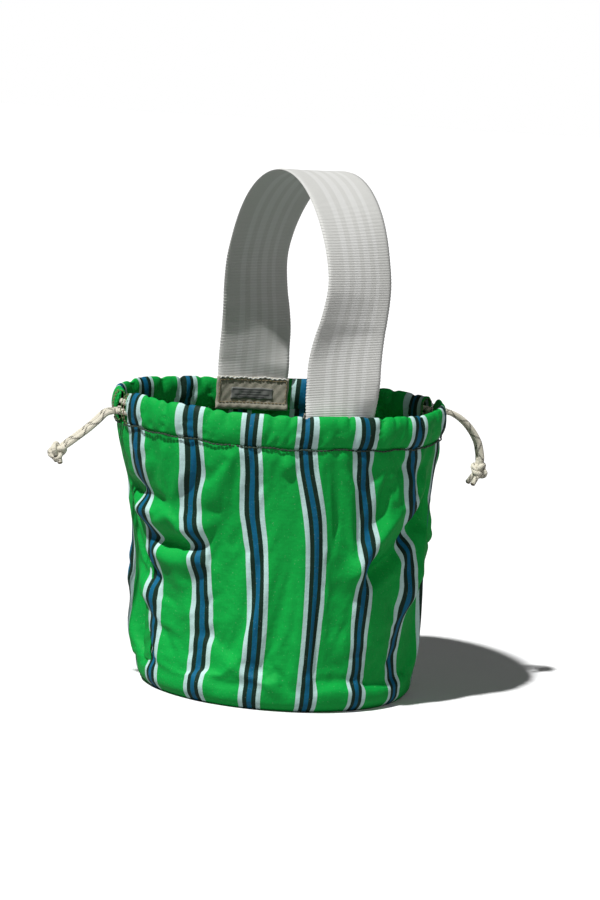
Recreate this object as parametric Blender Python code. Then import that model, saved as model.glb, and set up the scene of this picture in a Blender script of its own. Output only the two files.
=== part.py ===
"""Drawstring fruit picking bag: striped cotton body, rolled rim casing, webbing handle, two drawcords.

Frame: metres, +Z up, origin in the middle of the base. The cord slits are at -X and +X, the
handle is sewn inside the front wall (-Y) and the back wall (+Y).
"""
from math import asin, cos, pi, radians, sin, sqrt

import bmesh
import bpy
from mathutils import Matrix, Vector

# ---- driving dimensions (metres) ----
GAP = 0.0003               # air left between neighbouring pieces
CLOTH = 0.0010             # modelled thickness of the body cloth
WEBBING_WIDTH = 0.050
WEBBING = 0.0014           # webbing thickness
TWILL = 0.0010             # anchor patch thickness

RIM_Z = 0.199              # top of the casing
CASING_HEIGHT = 0.0220
CASING_THICK = 0.0090
RIM_A, RIM_B = 0.116, 0.094        # outer half axes of the casing
SLIT_HALF = 0.0085                 # half of the opening that each cord leaves by

HANDLE_X = 0.010           # the handle sits a little right of the middle
HANDLE_Y = 0.0755          # middle of each leg's webbing where it leaves the rim
HANDLE_WIDE_Y = 0.080      # the legs bow out to here
HANDLE_LOW_Z = 0.208       # where the free arch begins
HANDLE_STRAIGHT_Z = 0.226  # the legs are straight up to here
HANDLE_WIDE_Z = 0.262      # widest place of the arch
HANDLE_TURNED_Z = 0.292    # above this the arch has its full turn about Z
HANDLE_TOP_Z = 0.351
HANDLE_LEAN = 0.0035       # the top leans this far to the front
HANDLE_TURN = radians(5)   # turn of the whole arch about Z
LEG_TWIST = radians(8)     # further twist of the webbing, in the legs only
SWING_Z = 0.225            # height of the swing axis

PATCH_LOW_Z, PATCH_TOP_Z = 0.176, 0.199
PATCH_WIDTH = 0.052
SEWN_LOW_Z, SEWN_TOP_Z = 0.178, 0.214
LABEL_WIDTH, LABEL_LOW_Z, LABEL_TOP_Z = 0.030, 0.1835, 0.1915

CORD_R = 0.0020
CORD_STEP = 0.0026         # the two cords lie this far above and below the casing's middle
STRAND_Y = 0.0027          # the two strands of a cord lie this far to each side of its slit's middle
RING_HALF = 0.0125         # half of the gap that a cord's loop leaves at its slit
KNOT_SIZE = (0.0135, 0.0120, 0.0125)
THREAD_R = 0.0004
THREAD_SINK = 0.003        # stitching lies this far inside a patch's edge
THREAD_SLIT = 0.004        # the casing seam stops this far from a slit's middle
SEAM_HALF = 0.006          # seam allowance to each side of a seam
SEAM_LOW_Z = 0.016         # the side seams begin above the bottom seam
BOTTOM_SEAM = (0.0045, 0.0090, 0.0135)
HEM_R = 0.0007

PANEL_COLUMNS = 25         # columns of each half round the bag
ROUND_SPOKES = 48          # spokes of a full round
SECTION_POINTS = 14        # points of the casing's section
ARCH_ROWS = 29
LEG_ROWS = 5

SEAM_Z = RIM_Z - CASING_HEIGHT - GAP
CASING_Z = RIM_Z - CASING_HEIGHT / 2

# body outline: height, middle (X), half width (X), half depth (Y) of the outer face
BODY_OUTLINE = (
    (0.0000, 0.0110, 0.0890, 0.0840),
    (0.0035, 0.0110, 0.0925, 0.0875),
    (0.0120, 0.0110, 0.0950, 0.0895),
    (0.0600, 0.0110, 0.0965, 0.0920),
    (0.1000, 0.0100, 0.0985, 0.0925),
    (0.1250, 0.0080, 0.1015, 0.0925),
    (0.1500, 0.0040, 0.1057, 0.0920),
    (0.1650, 0.0015, 0.1095, 0.0910),
    (SEAM_Z, 0.0000, 0.1120, 0.0900),
)

# free strands, middle of each route: x is the distance from the bag's axis, then z
LEFT_ROUTE = ((0.1190, 0.1854), (0.1240, 0.1838), (0.1290, 0.1790), (0.1350, 0.1735), (0.1420, 0.1680),
              (0.1480, 0.1634))
LEFT_KNOT = (0.1554, 0.1575)
RIGHT_ROUTE = ((0.1190, 0.1906), (0.1250, 0.1899), (0.1330, 0.1862), (0.1410, 0.1795), (0.1475, 0.1705),
               (0.1502, 0.1620), (0.1508, 0.1580))
RIGHT_KNOT = (0.1510, 0.1502)

# each cord's end turns out of the casing through its slit: how far outside the casing's middle, and Y
TURN_OUT = ((0.0066, STRAND_Y), (0.0032, 0.0035), (0.0009, 0.0058), (0.0000, 0.0090))


def clear_scene():
    for item in list(bpy.data.objects):
        bpy.data.objects.remove(item, do_unlink=True)


def material(name, colour, roughness, metallic=0.0):
    made = bpy.data.materials.new(name)
    made.use_nodes = True
    shader = made.node_tree.nodes["Principled BSDF"]
    shader.inputs["Base Color"].default_value = (*colour, 1.0)
    shader.inputs["Roughness"].default_value = roughness
    shader.inputs["Metallic"].default_value = metallic
    return made


def smooth_path(points, steps):
    """Points on a smooth curve through the given points, `steps` for each span."""
    points = [Vector(point) for point in points]
    ends = [2 * points[0] - points[1]] + points + [2 * points[-1] - points[-2]]
    path = []
    for before, start, end, after in zip(ends, ends[1:], ends[2:], ends[3:]):
        for step in range(steps):
            t = step / steps
            path.append(0.5 * (2 * start + (end - before) * t
                               + (2 * before - 5 * start + 4 * end - after) * t ** 2
                               + (3 * start - before - 3 * end + after) * t ** 3))
    path.append(points[-1])
    return path


def body_axes(z):
    """Middle and outer half axes of the body at a height, read from the outline."""
    for low, high in zip(BODY_OUTLINE, BODY_OUTLINE[1:]):
        if z <= high[0]:
            return Vector(low).lerp(Vector(high), (z - low[0]) / (high[0] - low[0]))[1:]
    return BODY_OUTLINE[-1][1:]


def ellipse_angles(half_gap, a, b, count, side):
    """Angles from one slit to the other, along the front (side -1) or the back (side 1)."""
    edge = asin(half_gap / b)
    return [side * (edge + (pi - 2 * edge) * i / (count - 1)) for i in range(count)]


def place(name, mesh, finish):
    mesh.materials.append(finish)
    made = bpy.data.objects.new(name, mesh)
    bpy.context.collection.objects.link(made)
    mesh.shade_smooth()
    mesh.set_sharp_from_angle(angle=radians(50))
    return made


def grid_mesh(name, rows, close_across=False, close_along=False):
    """Quads between rows of points; rows may join end to end, and the last row may join the first."""
    bm = bmesh.new()
    grid = [[bm.verts.new(point) for point in row] for row in rows]
    if close_along:
        grid.append(grid[0])
    for low, high in zip(grid, grid[1:]):
        pairs = list(zip(low, low[1:], high[1:], high))
        if close_across:
            pairs.append((low[-1], low[0], high[0], high[-1]))
        for corners in pairs:
            bm.faces.new(corners)
    mesh = bpy.data.meshes.new(name)
    bm.to_mesh(mesh)
    bm.free()
    return mesh


def thicken(item, thickness, offset):
    wall = item.modifiers.new("Thickness", "SOLIDIFY")
    wall.thickness = thickness
    wall.offset = offset
    wall.use_even_offset = True


def sheet(name, rows, thickness, finish, offset=0.0, **closing):
    made = place(name, grid_mesh(name, rows, **closing), finish)
    thicken(made, thickness, offset)
    return made


def tube(name, points, radius, finish, closed=False, sides=2):
    curve = bpy.data.curves.new(name, "CURVE")
    curve.dimensions = "3D"
    curve.bevel_depth = radius
    curve.bevel_resolution = sides
    curve.use_fill_caps = not closed
    spline = curve.splines.new("POLY")
    spline.points.add(len(points) - 1)
    for target, point in zip(spline.points, points):
        target.co = (*point, 1.0)
    spline.use_cyclic_u = closed
    curve.materials.append(finish)
    made = bpy.data.objects.new(name, curve)
    bpy.context.collection.objects.link(made)
    return made


def body_panel(name, side, finish):
    rows = []
    for z, middle, a, b in BODY_OUTLINE:
        angles = ellipse_angles(GAP / 2, a, b, PANEL_COLUMNS, side)
        rows.append([(middle + a * cos(t), b * sin(t), z) for t in angles])
    sheet(name, rows, CLOTH, finish, offset=-side)


def bottom_panel(finish):
    """Flat oval that the side panels stand round, resting on Z = 0."""
    _, middle, a, b = BODY_OUTLINE[0]
    bm = bmesh.new()
    bmesh.ops.create_circle(bm, cap_ends=True, segments=ROUND_SPOKES, radius=1.0)
    inset = CLOTH + 3 * GAP
    bmesh.ops.scale(bm, vec=(a - inset, b - inset, 1.0), verts=bm.verts)
    bmesh.ops.translate(bm, vec=(middle, 0, 0), verts=bm.verts)
    top = bmesh.ops.extrude_face_region(bm, geom=bm.faces[:])["geom"]
    bmesh.ops.translate(bm, vec=(0, 0, CLOTH), verts=[v for v in top if isinstance(v, bmesh.types.BMVert)])
    bmesh.ops.recalc_face_normals(bm, faces=bm.faces[:])
    mesh = bpy.data.meshes.new("bottom_panel")
    bm.to_mesh(mesh)
    bm.free()
    place("bottom_panel", mesh, finish)


def casing_section(turn):
    """Outward and upward offset of the casing's outer face: full at the top, pinched at the seam."""
    pinch = 1.0 - 0.35 * max(0.0, -sin(turn)) ** 2
    return CASING_THICK / 2 * cos(turn) * pinch, CASING_HEIGHT / 2 * sin(turn)


def casing(name, side, finish):
    middle_a, middle_b = RIM_A - CASING_THICK / 2, RIM_B - CASING_THICK / 2
    turns = [2 * pi * i / SECTION_POINTS for i in range(SECTION_POINTS)]
    rows = []
    for t in ellipse_angles(SLIT_HALF, middle_a, middle_b, PANEL_COLUMNS, side):
        row = []
        for turn in turns:
            out, up = casing_section(turn)
            row.append(((middle_a + out) * cos(t), (middle_b + out) * sin(t), CASING_Z + up))
        rows.append(row)
    sheet(name, rows, CLOTH, finish, offset=side, close_across=True)


def slit_hem(name, end, side, finish):
    """Overlocked edge round one open end of the casing."""
    middle_a, middle_b = RIM_A - CASING_THICK / 2, RIM_B - CASING_THICK / 2
    inset = 1.0 - 2 * (HEM_R + GAP) / CASING_HEIGHT
    loop = []
    for i in range(SECTION_POINTS):
        out, up = casing_section(2 * pi * i / SECTION_POINTS)
        loop.append((end * (middle_a + out), side * (SLIT_HALF - HEM_R - GAP), CASING_Z + up * inset))
    tube(name, loop, HEM_R, finish, closed=True, sides=1)


def casing_stitching(name, side, finish):
    a, b = (axis + THREAD_R + 2 * GAP for axis in BODY_OUTLINE[-1][2:])
    turns = ellipse_angles(THREAD_SLIT, a, b, PANEL_COLUMNS, side)
    points = [(a * cos(t), b * sin(t), SEAM_Z - 2 * THREAD_R) for t in turns]
    tube(name, points, THREAD_R, finish, sides=1)


def side_seam(name, end, finish):
    """Seam allowance folded flat inside the wall, over the join of the two panels."""
    rows = []
    for i in range(11):
        z = SEAM_LOW_Z + (SEAM_Z - CLOTH - SEAM_LOW_Z) * i / 10
        middle, a, b = body_axes(z)
        a, b = a - CLOTH - 4 * GAP, b - CLOTH - 4 * GAP
        across = (SEAM_HALF * step / 2 for step in range(-2, 3))
        rows.append([(middle + end * a * sqrt(1 - (y / b) ** 2), y, z) for y in across])
    sheet(name, rows, CLOTH, finish, offset=-end)


def bottom_seam(finish):
    rows = []
    for z in BOTTOM_SEAM:
        middle, a, b = body_axes(z)
        a, b = a - CLOTH - 4 * GAP, b - CLOTH - 4 * GAP
        turns = (2 * pi * i / ROUND_SPOKES for i in range(ROUND_SPOKES))
        rows.append([(middle + a * cos(turn), b * sin(turn), z) for turn in turns])
    sheet("bottom_seam", rows, CLOTH, finish, offset=-1, close_across=True)


def wall_plate(name, side, depth, width, low, high, thickness, finish):
    """Sewn piece that follows the casing's inner face, `depth` inside it."""
    a, b = RIM_A - CASING_THICK - depth, RIM_B - CASING_THICK - depth
    across = [HANDLE_X + width * (i / 8 - 0.5) for i in range(9)]
    rows = [[(x, side * b * sqrt(1 - (x / a) ** 2), z) for x in across] for z in (low, (low + high) / 2, high)]
    sheet(name, rows, thickness, finish, offset=side)


def anchor_stitching(name, side, depth, finish):
    a, b = RIM_A - CASING_THICK - depth, RIM_B - CASING_THICK - depth
    half, low, high = PATCH_WIDTH / 2 - THREAD_SINK, PATCH_LOW_Z + THREAD_SINK, PATCH_TOP_Z - THREAD_SINK
    across = [HANDLE_X + half * (i / 5 - 1) for i in range(11)]
    outline = [(x, low) for x in across] + [(x, high) for x in reversed(across)]
    points = [(x, side * b * sqrt(1 - (x / a) ** 2), z) for x, z in outline]
    tube(name, points, THREAD_R, finish, closed=True, sides=1)


def smooth_share(value, low, high):
    share = min(1.0, max(0.0, (value - low) / (high - low)))
    return share * share * (3 - 2 * share)


def handle_path():
    """Middle line of the free arch from front to back, as (y, z), before its lean and turn."""
    leg = []
    for i in range(LEG_ROWS):
        z = HANDLE_LOW_Z + (HANDLE_WIDE_Z - HANDLE_LOW_Z) * i / LEG_ROWS
        bow = smooth_share(z, HANDLE_STRAIGHT_Z, HANDLE_WIDE_Z)
        leg.append((-HANDLE_Y - (HANDLE_WIDE_Y - HANDLE_Y) * bow, z))
    rise = HANDLE_TOP_Z - WEBBING / 2 - HANDLE_WIDE_Z
    turns = [pi * i / (ARCH_ROWS - 1) for i in range(ARCH_ROWS)]
    arch = [(-HANDLE_WIDE_Y * cos(t), HANDLE_WIDE_Z + rise * sin(t)) for t in turns]
    return leg + arch + [(-y, z) for y, z in reversed(leg)]


def handle_webbing(finish):
    pivot = Vector((HANDLE_X, 0, SWING_Z))
    rows = []
    for y, z in handle_path():
        share = smooth_share(z, HANDLE_STRAIGHT_Z, HANDLE_TURNED_Z)
        in_leg = 1 - smooth_share(z, HANDLE_TURNED_Z, HANDLE_TOP_Z)
        centre = Matrix.Rotation(HANDLE_TURN * share, 3, "Z") @ Vector((0, y - HANDLE_LEAN * share, z))
        across = Matrix.Rotation((HANDLE_TURN + LEG_TWIST * in_leg) * share, 3, "Z") @ Vector((1, 0, 0))
        start = Vector((HANDLE_X, 0, 0)) + centre - pivot
        rows.append([start + across * (WEBBING_WIDTH * (i / 2 - 0.5)) for i in range(3)])
    made = sheet("handle_webbing", rows, WEBBING, finish)
    made.location = pivot


def drawcord(name, end, height, finish):
    """Loop through the whole casing, both ends turned out through its own slit at `end`."""
    a, b = RIM_A - CASING_THICK / 2, RIM_B - CASING_THICK / 2
    edge = asin(RING_HALF / b)
    ring = [edge + (2 * pi - 2 * edge) * i / ROUND_SPOKES for i in range(ROUND_SPOKES + 1)]
    turn_out = [(a + out, y) for out, y in TURN_OUT]
    points = list(turn_out) + [(a * cos(t), b * sin(t)) for t in ring] + [(x, -y) for x, y in reversed(turn_out)]
    tube(name, [(end * x, y, CASING_Z + height) for x, y in points], CORD_R, finish)


def strands(prefix, end, route, knot, finish, knot_finish):
    """Two free strands side by side from the slit to the overhand knot, and the knot."""
    for letter, side in (("a", -1), ("b", 1)):
        points = [(end * x, side * STRAND_Y, z) for x, z in route]
        tube(f"{prefix}_strand_{letter}", smooth_path(points, 3), CORD_R, finish)
    bm = bmesh.new()
    bmesh.ops.create_icosphere(bm, subdivisions=2, radius=0.5)
    bmesh.ops.scale(bm, vec=KNOT_SIZE, verts=bm.verts)
    bmesh.ops.translate(bm, vec=(end * knot[0], 0, knot[1]), verts=bm.verts)
    mesh = bpy.data.meshes.new(f"{prefix}_knot")
    bm.to_mesh(mesh)
    bm.free()
    place(f"{prefix}_knot", mesh, knot_finish)


def build():
    clear_scene()
    stripe_cloth = material("striped_cotton", (0.02, 0.42, 0.09), 0.85)
    webbing = material("webbing", (0.74, 0.74, 0.70), 0.45)
    twill = material("twill_patch", (0.45, 0.43, 0.34), 0.90)
    cord = material("braided_cord", (0.70, 0.66, 0.54), 0.80)
    thread = material("dark_thread", (0.01, 0.04, 0.02), 0.70)
    tan_thread = material("tan_thread", (0.36, 0.26, 0.12), 0.70)
    overlock = material("overlock_thread", (0.20, 0.45, 0.10), 0.80)
    label = material("label_cloth", (0.22, 0.22, 0.20), 0.75)

    sides = (("front", -1), ("back", 1))
    ends = (("left", -1), ("right", 1))
    bottom_panel(stripe_cloth)
    bottom_seam(overlock)
    for word, side in sides:
        body_panel(f"{word}_panel", side, stripe_cloth)
        casing(f"{word}_casing", side, stripe_cloth)
        casing_stitching(f"{word}_casing_stitching", side, thread)
        sewn_depth = 2 * GAP
        patch_depth = sewn_depth + WEBBING + GAP
        face_depth = patch_depth + TWILL + GAP
        wall_plate(f"{word}_handle_end", side, sewn_depth, WEBBING_WIDTH, SEWN_LOW_Z, SEWN_TOP_Z, WEBBING, webbing)
        wall_plate(f"{word}_anchor_patch", side, patch_depth, PATCH_WIDTH, PATCH_LOW_Z, PATCH_TOP_Z, TWILL, twill)
        anchor_stitching(f"{word}_anchor_stitching", side, face_depth + THREAD_R, tan_thread)
        for edge, end in ends:
            slit_hem(f"{word}_{edge}_slit_hem", end, side, overlock)
    wall_plate("back_label", 1, face_depth, LABEL_WIDTH, LABEL_LOW_Z, LABEL_TOP_Z, THREAD_R, label)
    handle_webbing(webbing)
    for edge, end in ends:
        side_seam(f"{edge}_side_seam", end, overlock)
    drawcord("left_drawcord", -1, -CORD_STEP, cord)
    drawcord("right_drawcord", 1, CORD_STEP, cord)
    strands("left", -1, LEFT_ROUTE, LEFT_KNOT, cord, cord)
    strands("right", 1, RIGHT_ROUTE, RIGHT_KNOT, cord, cord)


build()
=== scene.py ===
"""Looks of the drawstring picking bag: cloth body, rolled casing, webbing handle, cords and stitching.

Every size is in metres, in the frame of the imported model: +Z up, slits at -X and +X, front at -Y.
"""
from math import asin, cos, pi, radians, sin, sqrt

import bmesh
import bpy
import numpy as np
from bpy.props import FloatProperty, FloatVectorProperty, IntProperty, PointerProperty
from mathutils import Matrix, Vector


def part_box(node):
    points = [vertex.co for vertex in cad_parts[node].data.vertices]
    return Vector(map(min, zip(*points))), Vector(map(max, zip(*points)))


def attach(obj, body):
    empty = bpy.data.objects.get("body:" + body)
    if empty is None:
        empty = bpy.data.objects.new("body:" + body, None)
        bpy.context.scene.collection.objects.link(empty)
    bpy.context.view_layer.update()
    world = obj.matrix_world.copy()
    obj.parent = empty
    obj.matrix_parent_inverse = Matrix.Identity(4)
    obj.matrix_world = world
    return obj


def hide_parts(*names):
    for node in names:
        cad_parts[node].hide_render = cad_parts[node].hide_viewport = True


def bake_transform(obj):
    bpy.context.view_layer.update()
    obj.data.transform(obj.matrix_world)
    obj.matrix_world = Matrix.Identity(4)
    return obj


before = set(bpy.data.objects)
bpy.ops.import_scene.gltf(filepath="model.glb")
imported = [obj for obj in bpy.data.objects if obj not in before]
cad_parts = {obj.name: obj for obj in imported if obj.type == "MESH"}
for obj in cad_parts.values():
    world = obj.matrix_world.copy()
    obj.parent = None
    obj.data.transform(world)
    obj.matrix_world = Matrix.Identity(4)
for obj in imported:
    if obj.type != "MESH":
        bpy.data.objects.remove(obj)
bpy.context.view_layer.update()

bl_info = {
    "name": "Drawstring Picking Bag",
    "version": (1, 0, 0),
    "blender": (4, 5, 0),
    "location": "3D View > Sidebar > Picking Bag",
    "description": "Builds the cloth, webbing, cords and stitching of a drawstring picking bag",
    "category": "Object",
}

# ---- places read from the frame ----
CASING_LOW, CASING_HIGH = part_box("front_casing")
PATCH_LOW, PATCH_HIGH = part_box("back_anchor_patch")
LABEL_LOW, LABEL_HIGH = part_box("back_label")
RIM_Z = CASING_HIGH.z
RIM_A = CASING_HIGH.x
RIM_B = -CASING_LOW.y
CASING_HEIGHT = CASING_HIGH.z - CASING_LOW.z
SEAM_Z = CASING_LOW.z
HANDLE_X = (PATCH_LOW.x + PATCH_HIGH.x) / 2
ARCH_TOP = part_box("handle_webbing")[1].z

# ---- sizes that the frame doesn't state ----
CASING_THICK = 0.0090
CASING_A, CASING_B = RIM_A + 0.0005 - CASING_THICK / 2, RIM_B - CASING_THICK / 2
SLIT_HALF = 0.0085
CORD_R = 0.0020
CORD_STEP = 0.0026                   # each cord lies this far above or below the middle of the casing
CORD_SIDE = 0.0027                   # the two strands of a cord leave their slit this far from its middle
CLOTH = 0.0006
SEAM_A, SEAM_B = 0.1120, 0.0900      # half axes of the body at the seam
PATCH_DEPTH = 0.0024                 # the patches and the seam allowances stand this far inside the wall
PATCH_THICK = 0.0008
WEBBING_THICK = 0.0013

# body outline: height, middle (X), half width (X), half depth (Y)
BODY_OUTLINE = (
    (0.0000, 0.0110, 0.0890, 0.0840),
    (0.0035, 0.0110, 0.0925, 0.0875),
    (0.0120, 0.0110, 0.0950, 0.0895),
    (0.0600, 0.0110, 0.0965, 0.0920),
    (0.1000, 0.0100, 0.0985, 0.0925),
    (0.1250, 0.0080, 0.1015, 0.0925),
    (0.1500, 0.0040, 0.1057, 0.0920),
    (0.1650, 0.0015, 0.1095, 0.0910),
    (SEAM_Z, 0.0000, SEAM_A, SEAM_B),
)

BRAID_YARNS = 8            # yarns each way round the cord
BRAID_LAY = 0.016          # length in which a yarn goes once round
BRAID_STEP = 0.0006
SETTLE_LIMIT = 0.006       # the cloth may settle this far from its sculpted folds
SETTLE_FRAMES = 20
FOLD_STRENGTH = 1.35       # factor on the push of every fold below
HANDLE_WIDE = 0.0800       # middle of each leg from the middle of the bag, where the arch is widest
HANDLE_WIDE_Z = 0.262      # widest place of the arch
HANDLE_STRAIGHT_Z, HANDLE_TURNED_Z = 0.226, 0.292      # the arch turns about Z between these heights
HANDLE_LEAN = 0.0035       # the top leans this far to the front
HANDLE_TURN = radians(5)   # turn of the whole arch about Z
LEG_TWIST, FOOT_TWIST = radians(8), radians(6)

# free strands: distance from the axis and height, as in the CAD model
LEFT_ROUTE = ((0.1190, 0.1854), (0.1240, 0.1838), (0.1290, 0.1790), (0.1350, 0.1735), (0.1420, 0.1680),
              (0.1480, 0.1634))
LEFT_KNOT = (0.1554, 0.1575)
RIGHT_ROUTE = ((0.1190, 0.1906), (0.1250, 0.1899), (0.1330, 0.1862), (0.1410, 0.1795), (0.1475, 0.1705),
               (0.1502, 0.1620), (0.1508, 0.1580))
RIGHT_KNOT = (0.1510, 0.1502)

# folds of the body cloth, in mm: place along the cloth and height of both ends, then width and push outwards.
# The place along the cloth starts at the right slit and runs round the front.
FOLDS = (
    (338, 139, 284, 134, 6, -6.5), (290, 134, 222, 132, 5, -4.0), (325, 126, 250, 121, 9, 4.5),
    (312, 156, 240, 151, 9, 3.0), (304, 108, 262, 110, 5, -5.0), (266, 110, 226, 117, 5, -2.6),
    (316, 95, 255, 97, 9, 3.2), (330, 84, 300, 79, 5, -4.0), (332, 69, 300, 66, 8, 3.0),
    (336, 104, 322, 20, 7, -3.0), (352, 90, 342, 14, 8, 3.2), (306, 60, 296, 18, 7, 2.2),
    (62, 152, 104, 130, 8, 4.5), (104, 130, 142, 92, 7, 5.0), (52, 142, 88, 118, 9, -10.0),
    (88, 118, 124, 92, 8, -9.0), (46, 112, 86, 74, 13, 5.0), (96, 80, 84, 28, 9, -2.4),
    (150, 165, 62, 163, 5, -3.4), (118, 160, 80, 156, 8, 2.4), (196, 163, 226, 136, 7, -2.6),
    (182, 168, 206, 158, 7, 2.4), (246, 160, 214, 150, 8, 1.8), (262, 52, 204, 30, 9, -1.8),
    (240, 38, 196, 16, 9, 2.0), (150, 50, 120, 20, 10, 1.8),
    (290, 30, 250, 12, 9, 1.8), (186, 120, 150, 106, 8, 1.2), (30, 150, 2, 120, 8, -5.0),
    (22, 128, 4, 96, 9, 4.0), (398, 150, 440, 128, 8, -5.0), (402, 136, 452, 112, 10, 4.0),
    (380, 118, 430, 98, 8, -4.0), (470, 162, 520, 140, 8, -3.5), (482, 148, 530, 122, 10, 3.2),
    (540, 130, 590, 148, 8, -5.0), (534, 112, 600, 128, 10, 4.2), (556, 90, 606, 104, 8, -4.0),
    (610, 150, 648, 122, 8, -5.0), (620, 132, 652, 104, 9, 3.8), (450, 60, 430, 18, 9, 2.2),
    (520, 70, 500, 20, 10, -2.4), (590, 66, 600, 20, 9, 2.4), (640, 80, 630, 22, 9, -2.8),
)

# where the casing is drawn up unevenly, in mm: place along the seam, and how far its stripes are pushed along
DRAWN_UP = ((0, 0), (86, 2), (133, 4), (175, 2.6), (211, -6), (250, -10.6), (299, -6.6), (330, 0), (639, 0))


def seam_lengths():
    """Turns about the axis, clockwise from the right slit, and the length of cloth up to each."""
    turns = -np.linspace(0, 2 * pi, 2881)
    steps = np.hypot(np.diff(SEAM_A * np.cos(turns)), np.diff(SEAM_B * np.sin(turns)))
    return turns, np.concatenate([[0], np.cumsum(steps)])


SEAM_TURNS, SEAM_LENGTHS = seam_lengths()
CLOTH_ROUND = float(SEAM_LENGTHS[-1])


# ---- what the user would change ----
class BagSizes(bpy.types.PropertyGroup):
    """Sizes of the cloth pattern, the webbing and the stitches"""
    stripe_pitch: FloatProperty(name="Stripe pitch", description="From one stripe group to the next",
                                default=0.0443, unit="LENGTH", precision=4)
    first_stripe: FloatProperty(name="First stripe", default=-0.0044, unit="LENGTH", precision=4,
                                description="Middle of the first group from the right slit")
    white_stripe: FloatProperty(name="White stripe", description="Width of each white stripe",
                                default=0.0035, unit="LENGTH", precision=4)
    dark_stripe: FloatProperty(name="Dark stripe", description="Width of each dark stripe",
                               default=0.0033, unit="LENGTH", precision=4)
    blue_stripe: FloatProperty(name="Blue stripe", description="Width of the blue stripe",
                               default=0.0036, unit="LENGTH", precision=4)
    webbing_width: FloatProperty(name="Webbing width", description="Width of the handle webbing",
                                 default=0.050, unit="LENGTH")
    webbing_rib: FloatProperty(name="Webbing rib", description="From one cross rib to the next",
                               default=0.0011, unit="LENGTH", precision=4)
    stitch_length: FloatProperty(name="Stitch length", description="From one stitch to the next",
                                 default=0.0026, unit="LENGTH", precision=4)
    wrinkle_seed: IntProperty(name="Wrinkle seed", default=7,
                              description="Seed of the small creases and gathers")


def colour_property(name, words, value):
    return FloatVectorProperty(name=name, description=words, subtype="COLOR", size=3, min=0, max=1,
                               default=value)


class BagColours(bpy.types.PropertyGroup):
    """Colours of the cloth, the webbing, the cords and the threads"""
    green: colour_property("Green", "Ground colour of the cloth", (0.002, 0.335, 0.048))
    white: colour_property("White", "White stripes", (0.45, 0.64, 0.62))
    dark: colour_property("Dark", "Dark stripes", (0.006, 0.024, 0.014))
    blue: colour_property("Blue", "Blue stripes", (0.003, 0.105, 0.205))
    webbing: colour_property("Webbing", "Handle webbing", (0.60, 0.60, 0.575))
    twill: colour_property("Twill", "Anchor patches", (0.36, 0.34, 0.27))
    cord: colour_property("Cord", "Braided cord", (0.70, 0.66, 0.54))
    tracer: colour_property("Tracer", "Dark threads in the cord", (0.015, 0.014, 0.012))
    seam_thread: colour_property("Seam thread", "Thread of the casing seam", (0.004, 0.030, 0.010))
    tan_thread: colour_property("Tan thread", "Thread of the anchor patches", (0.30, 0.22, 0.11))
    overlock: colour_property("Overlock", "Thread of the overlocked edges", (0.10, 0.20, 0.05))


def sizes():
    """The sizes set in the panel."""
    return bpy.context.scene.bag_sizes


def colours():
    """The colours set in the panel."""
    return bpy.context.scene.bag_colours


# ---- shader node helpers ----
class Tree:
    """Short way to add nodes and links to a shader or group tree."""

    def __init__(self, tree):
        self.tree = tree

    def add(self, kind, inputs=None, **settings):
        node = self.tree.nodes.new(kind)
        for name, value in settings.items():
            setattr(node, name, value)
        for key, value in (inputs or {}).items():
            self.feed(node.inputs[key], value)
        return node

    def feed(self, socket, value):
        if isinstance(value, bpy.types.NodeSocket):
            self.tree.links.new(value, socket)
        else:
            socket.default_value = value

    def math(self, operation, *values, clamp=False):
        node = self.add("ShaderNodeMath", operation=operation, use_clamp=clamp)
        for socket, value in zip(node.inputs, values):
            self.feed(socket, value)
        return node.outputs[0]

    def mix(self, factor, first, second, blend="MIX"):
        node = self.add("ShaderNodeMix", data_type="RGBA", blend_type=blend)
        self.feed(node.inputs[0], factor)
        self.feed(node.inputs[6], first)
        self.feed(node.inputs[7], second)
        return node.outputs[2]

    def noise(self, vector, scale, detail=2.0, roughness=0.5):
        node = self.add("ShaderNodeTexNoise", {"Vector": vector, "Scale": scale, "Detail": detail,
                                               "Roughness": roughness})
        return node.outputs["Fac"]

    def stretched(self, vector, scale):
        return self.add("ShaderNodeMapping", {"Vector": vector, "Scale": scale}).outputs[0]

    def split(self, vector):
        return self.add("ShaderNodeSeparateXYZ", {"Vector": vector}).outputs

    def band(self, value, low, high, soft):
        """1 between low and high, with soft edges."""
        rise, fall = (self.add("ShaderNodeMapRange", {"Value": value, "From Min": start, "From Max": stop})
                      for start, stop in ((low - soft, low + soft), (high + soft, high - soft)))
        return self.math("MULTIPLY", rise.outputs[0], fall.outputs[0])

    def half_wave(self, turn):
        """A sine wave between 0 and 1."""
        return self.math("MULTIPLY_ADD", self.math("SINE", turn), 0.5, 0.5)


def new_group(name, inputs, outputs):
    """A shader node group with named sockets, made once."""
    group = bpy.data.node_groups.new(name, "ShaderNodeTree")
    for label, kind, value in inputs:
        socket = group.interface.new_socket(label, in_out="INPUT", socket_type=f"NodeSocket{kind}")
        if value is not None:
            socket.default_value = value
    for label, kind in outputs:
        group.interface.new_socket(label, in_out="OUTPUT", socket_type=f"NodeSocket{kind}")
    tree = Tree(group)
    return tree, tree.add("NodeGroupInput"), tree.add("NodeGroupOutput")


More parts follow.
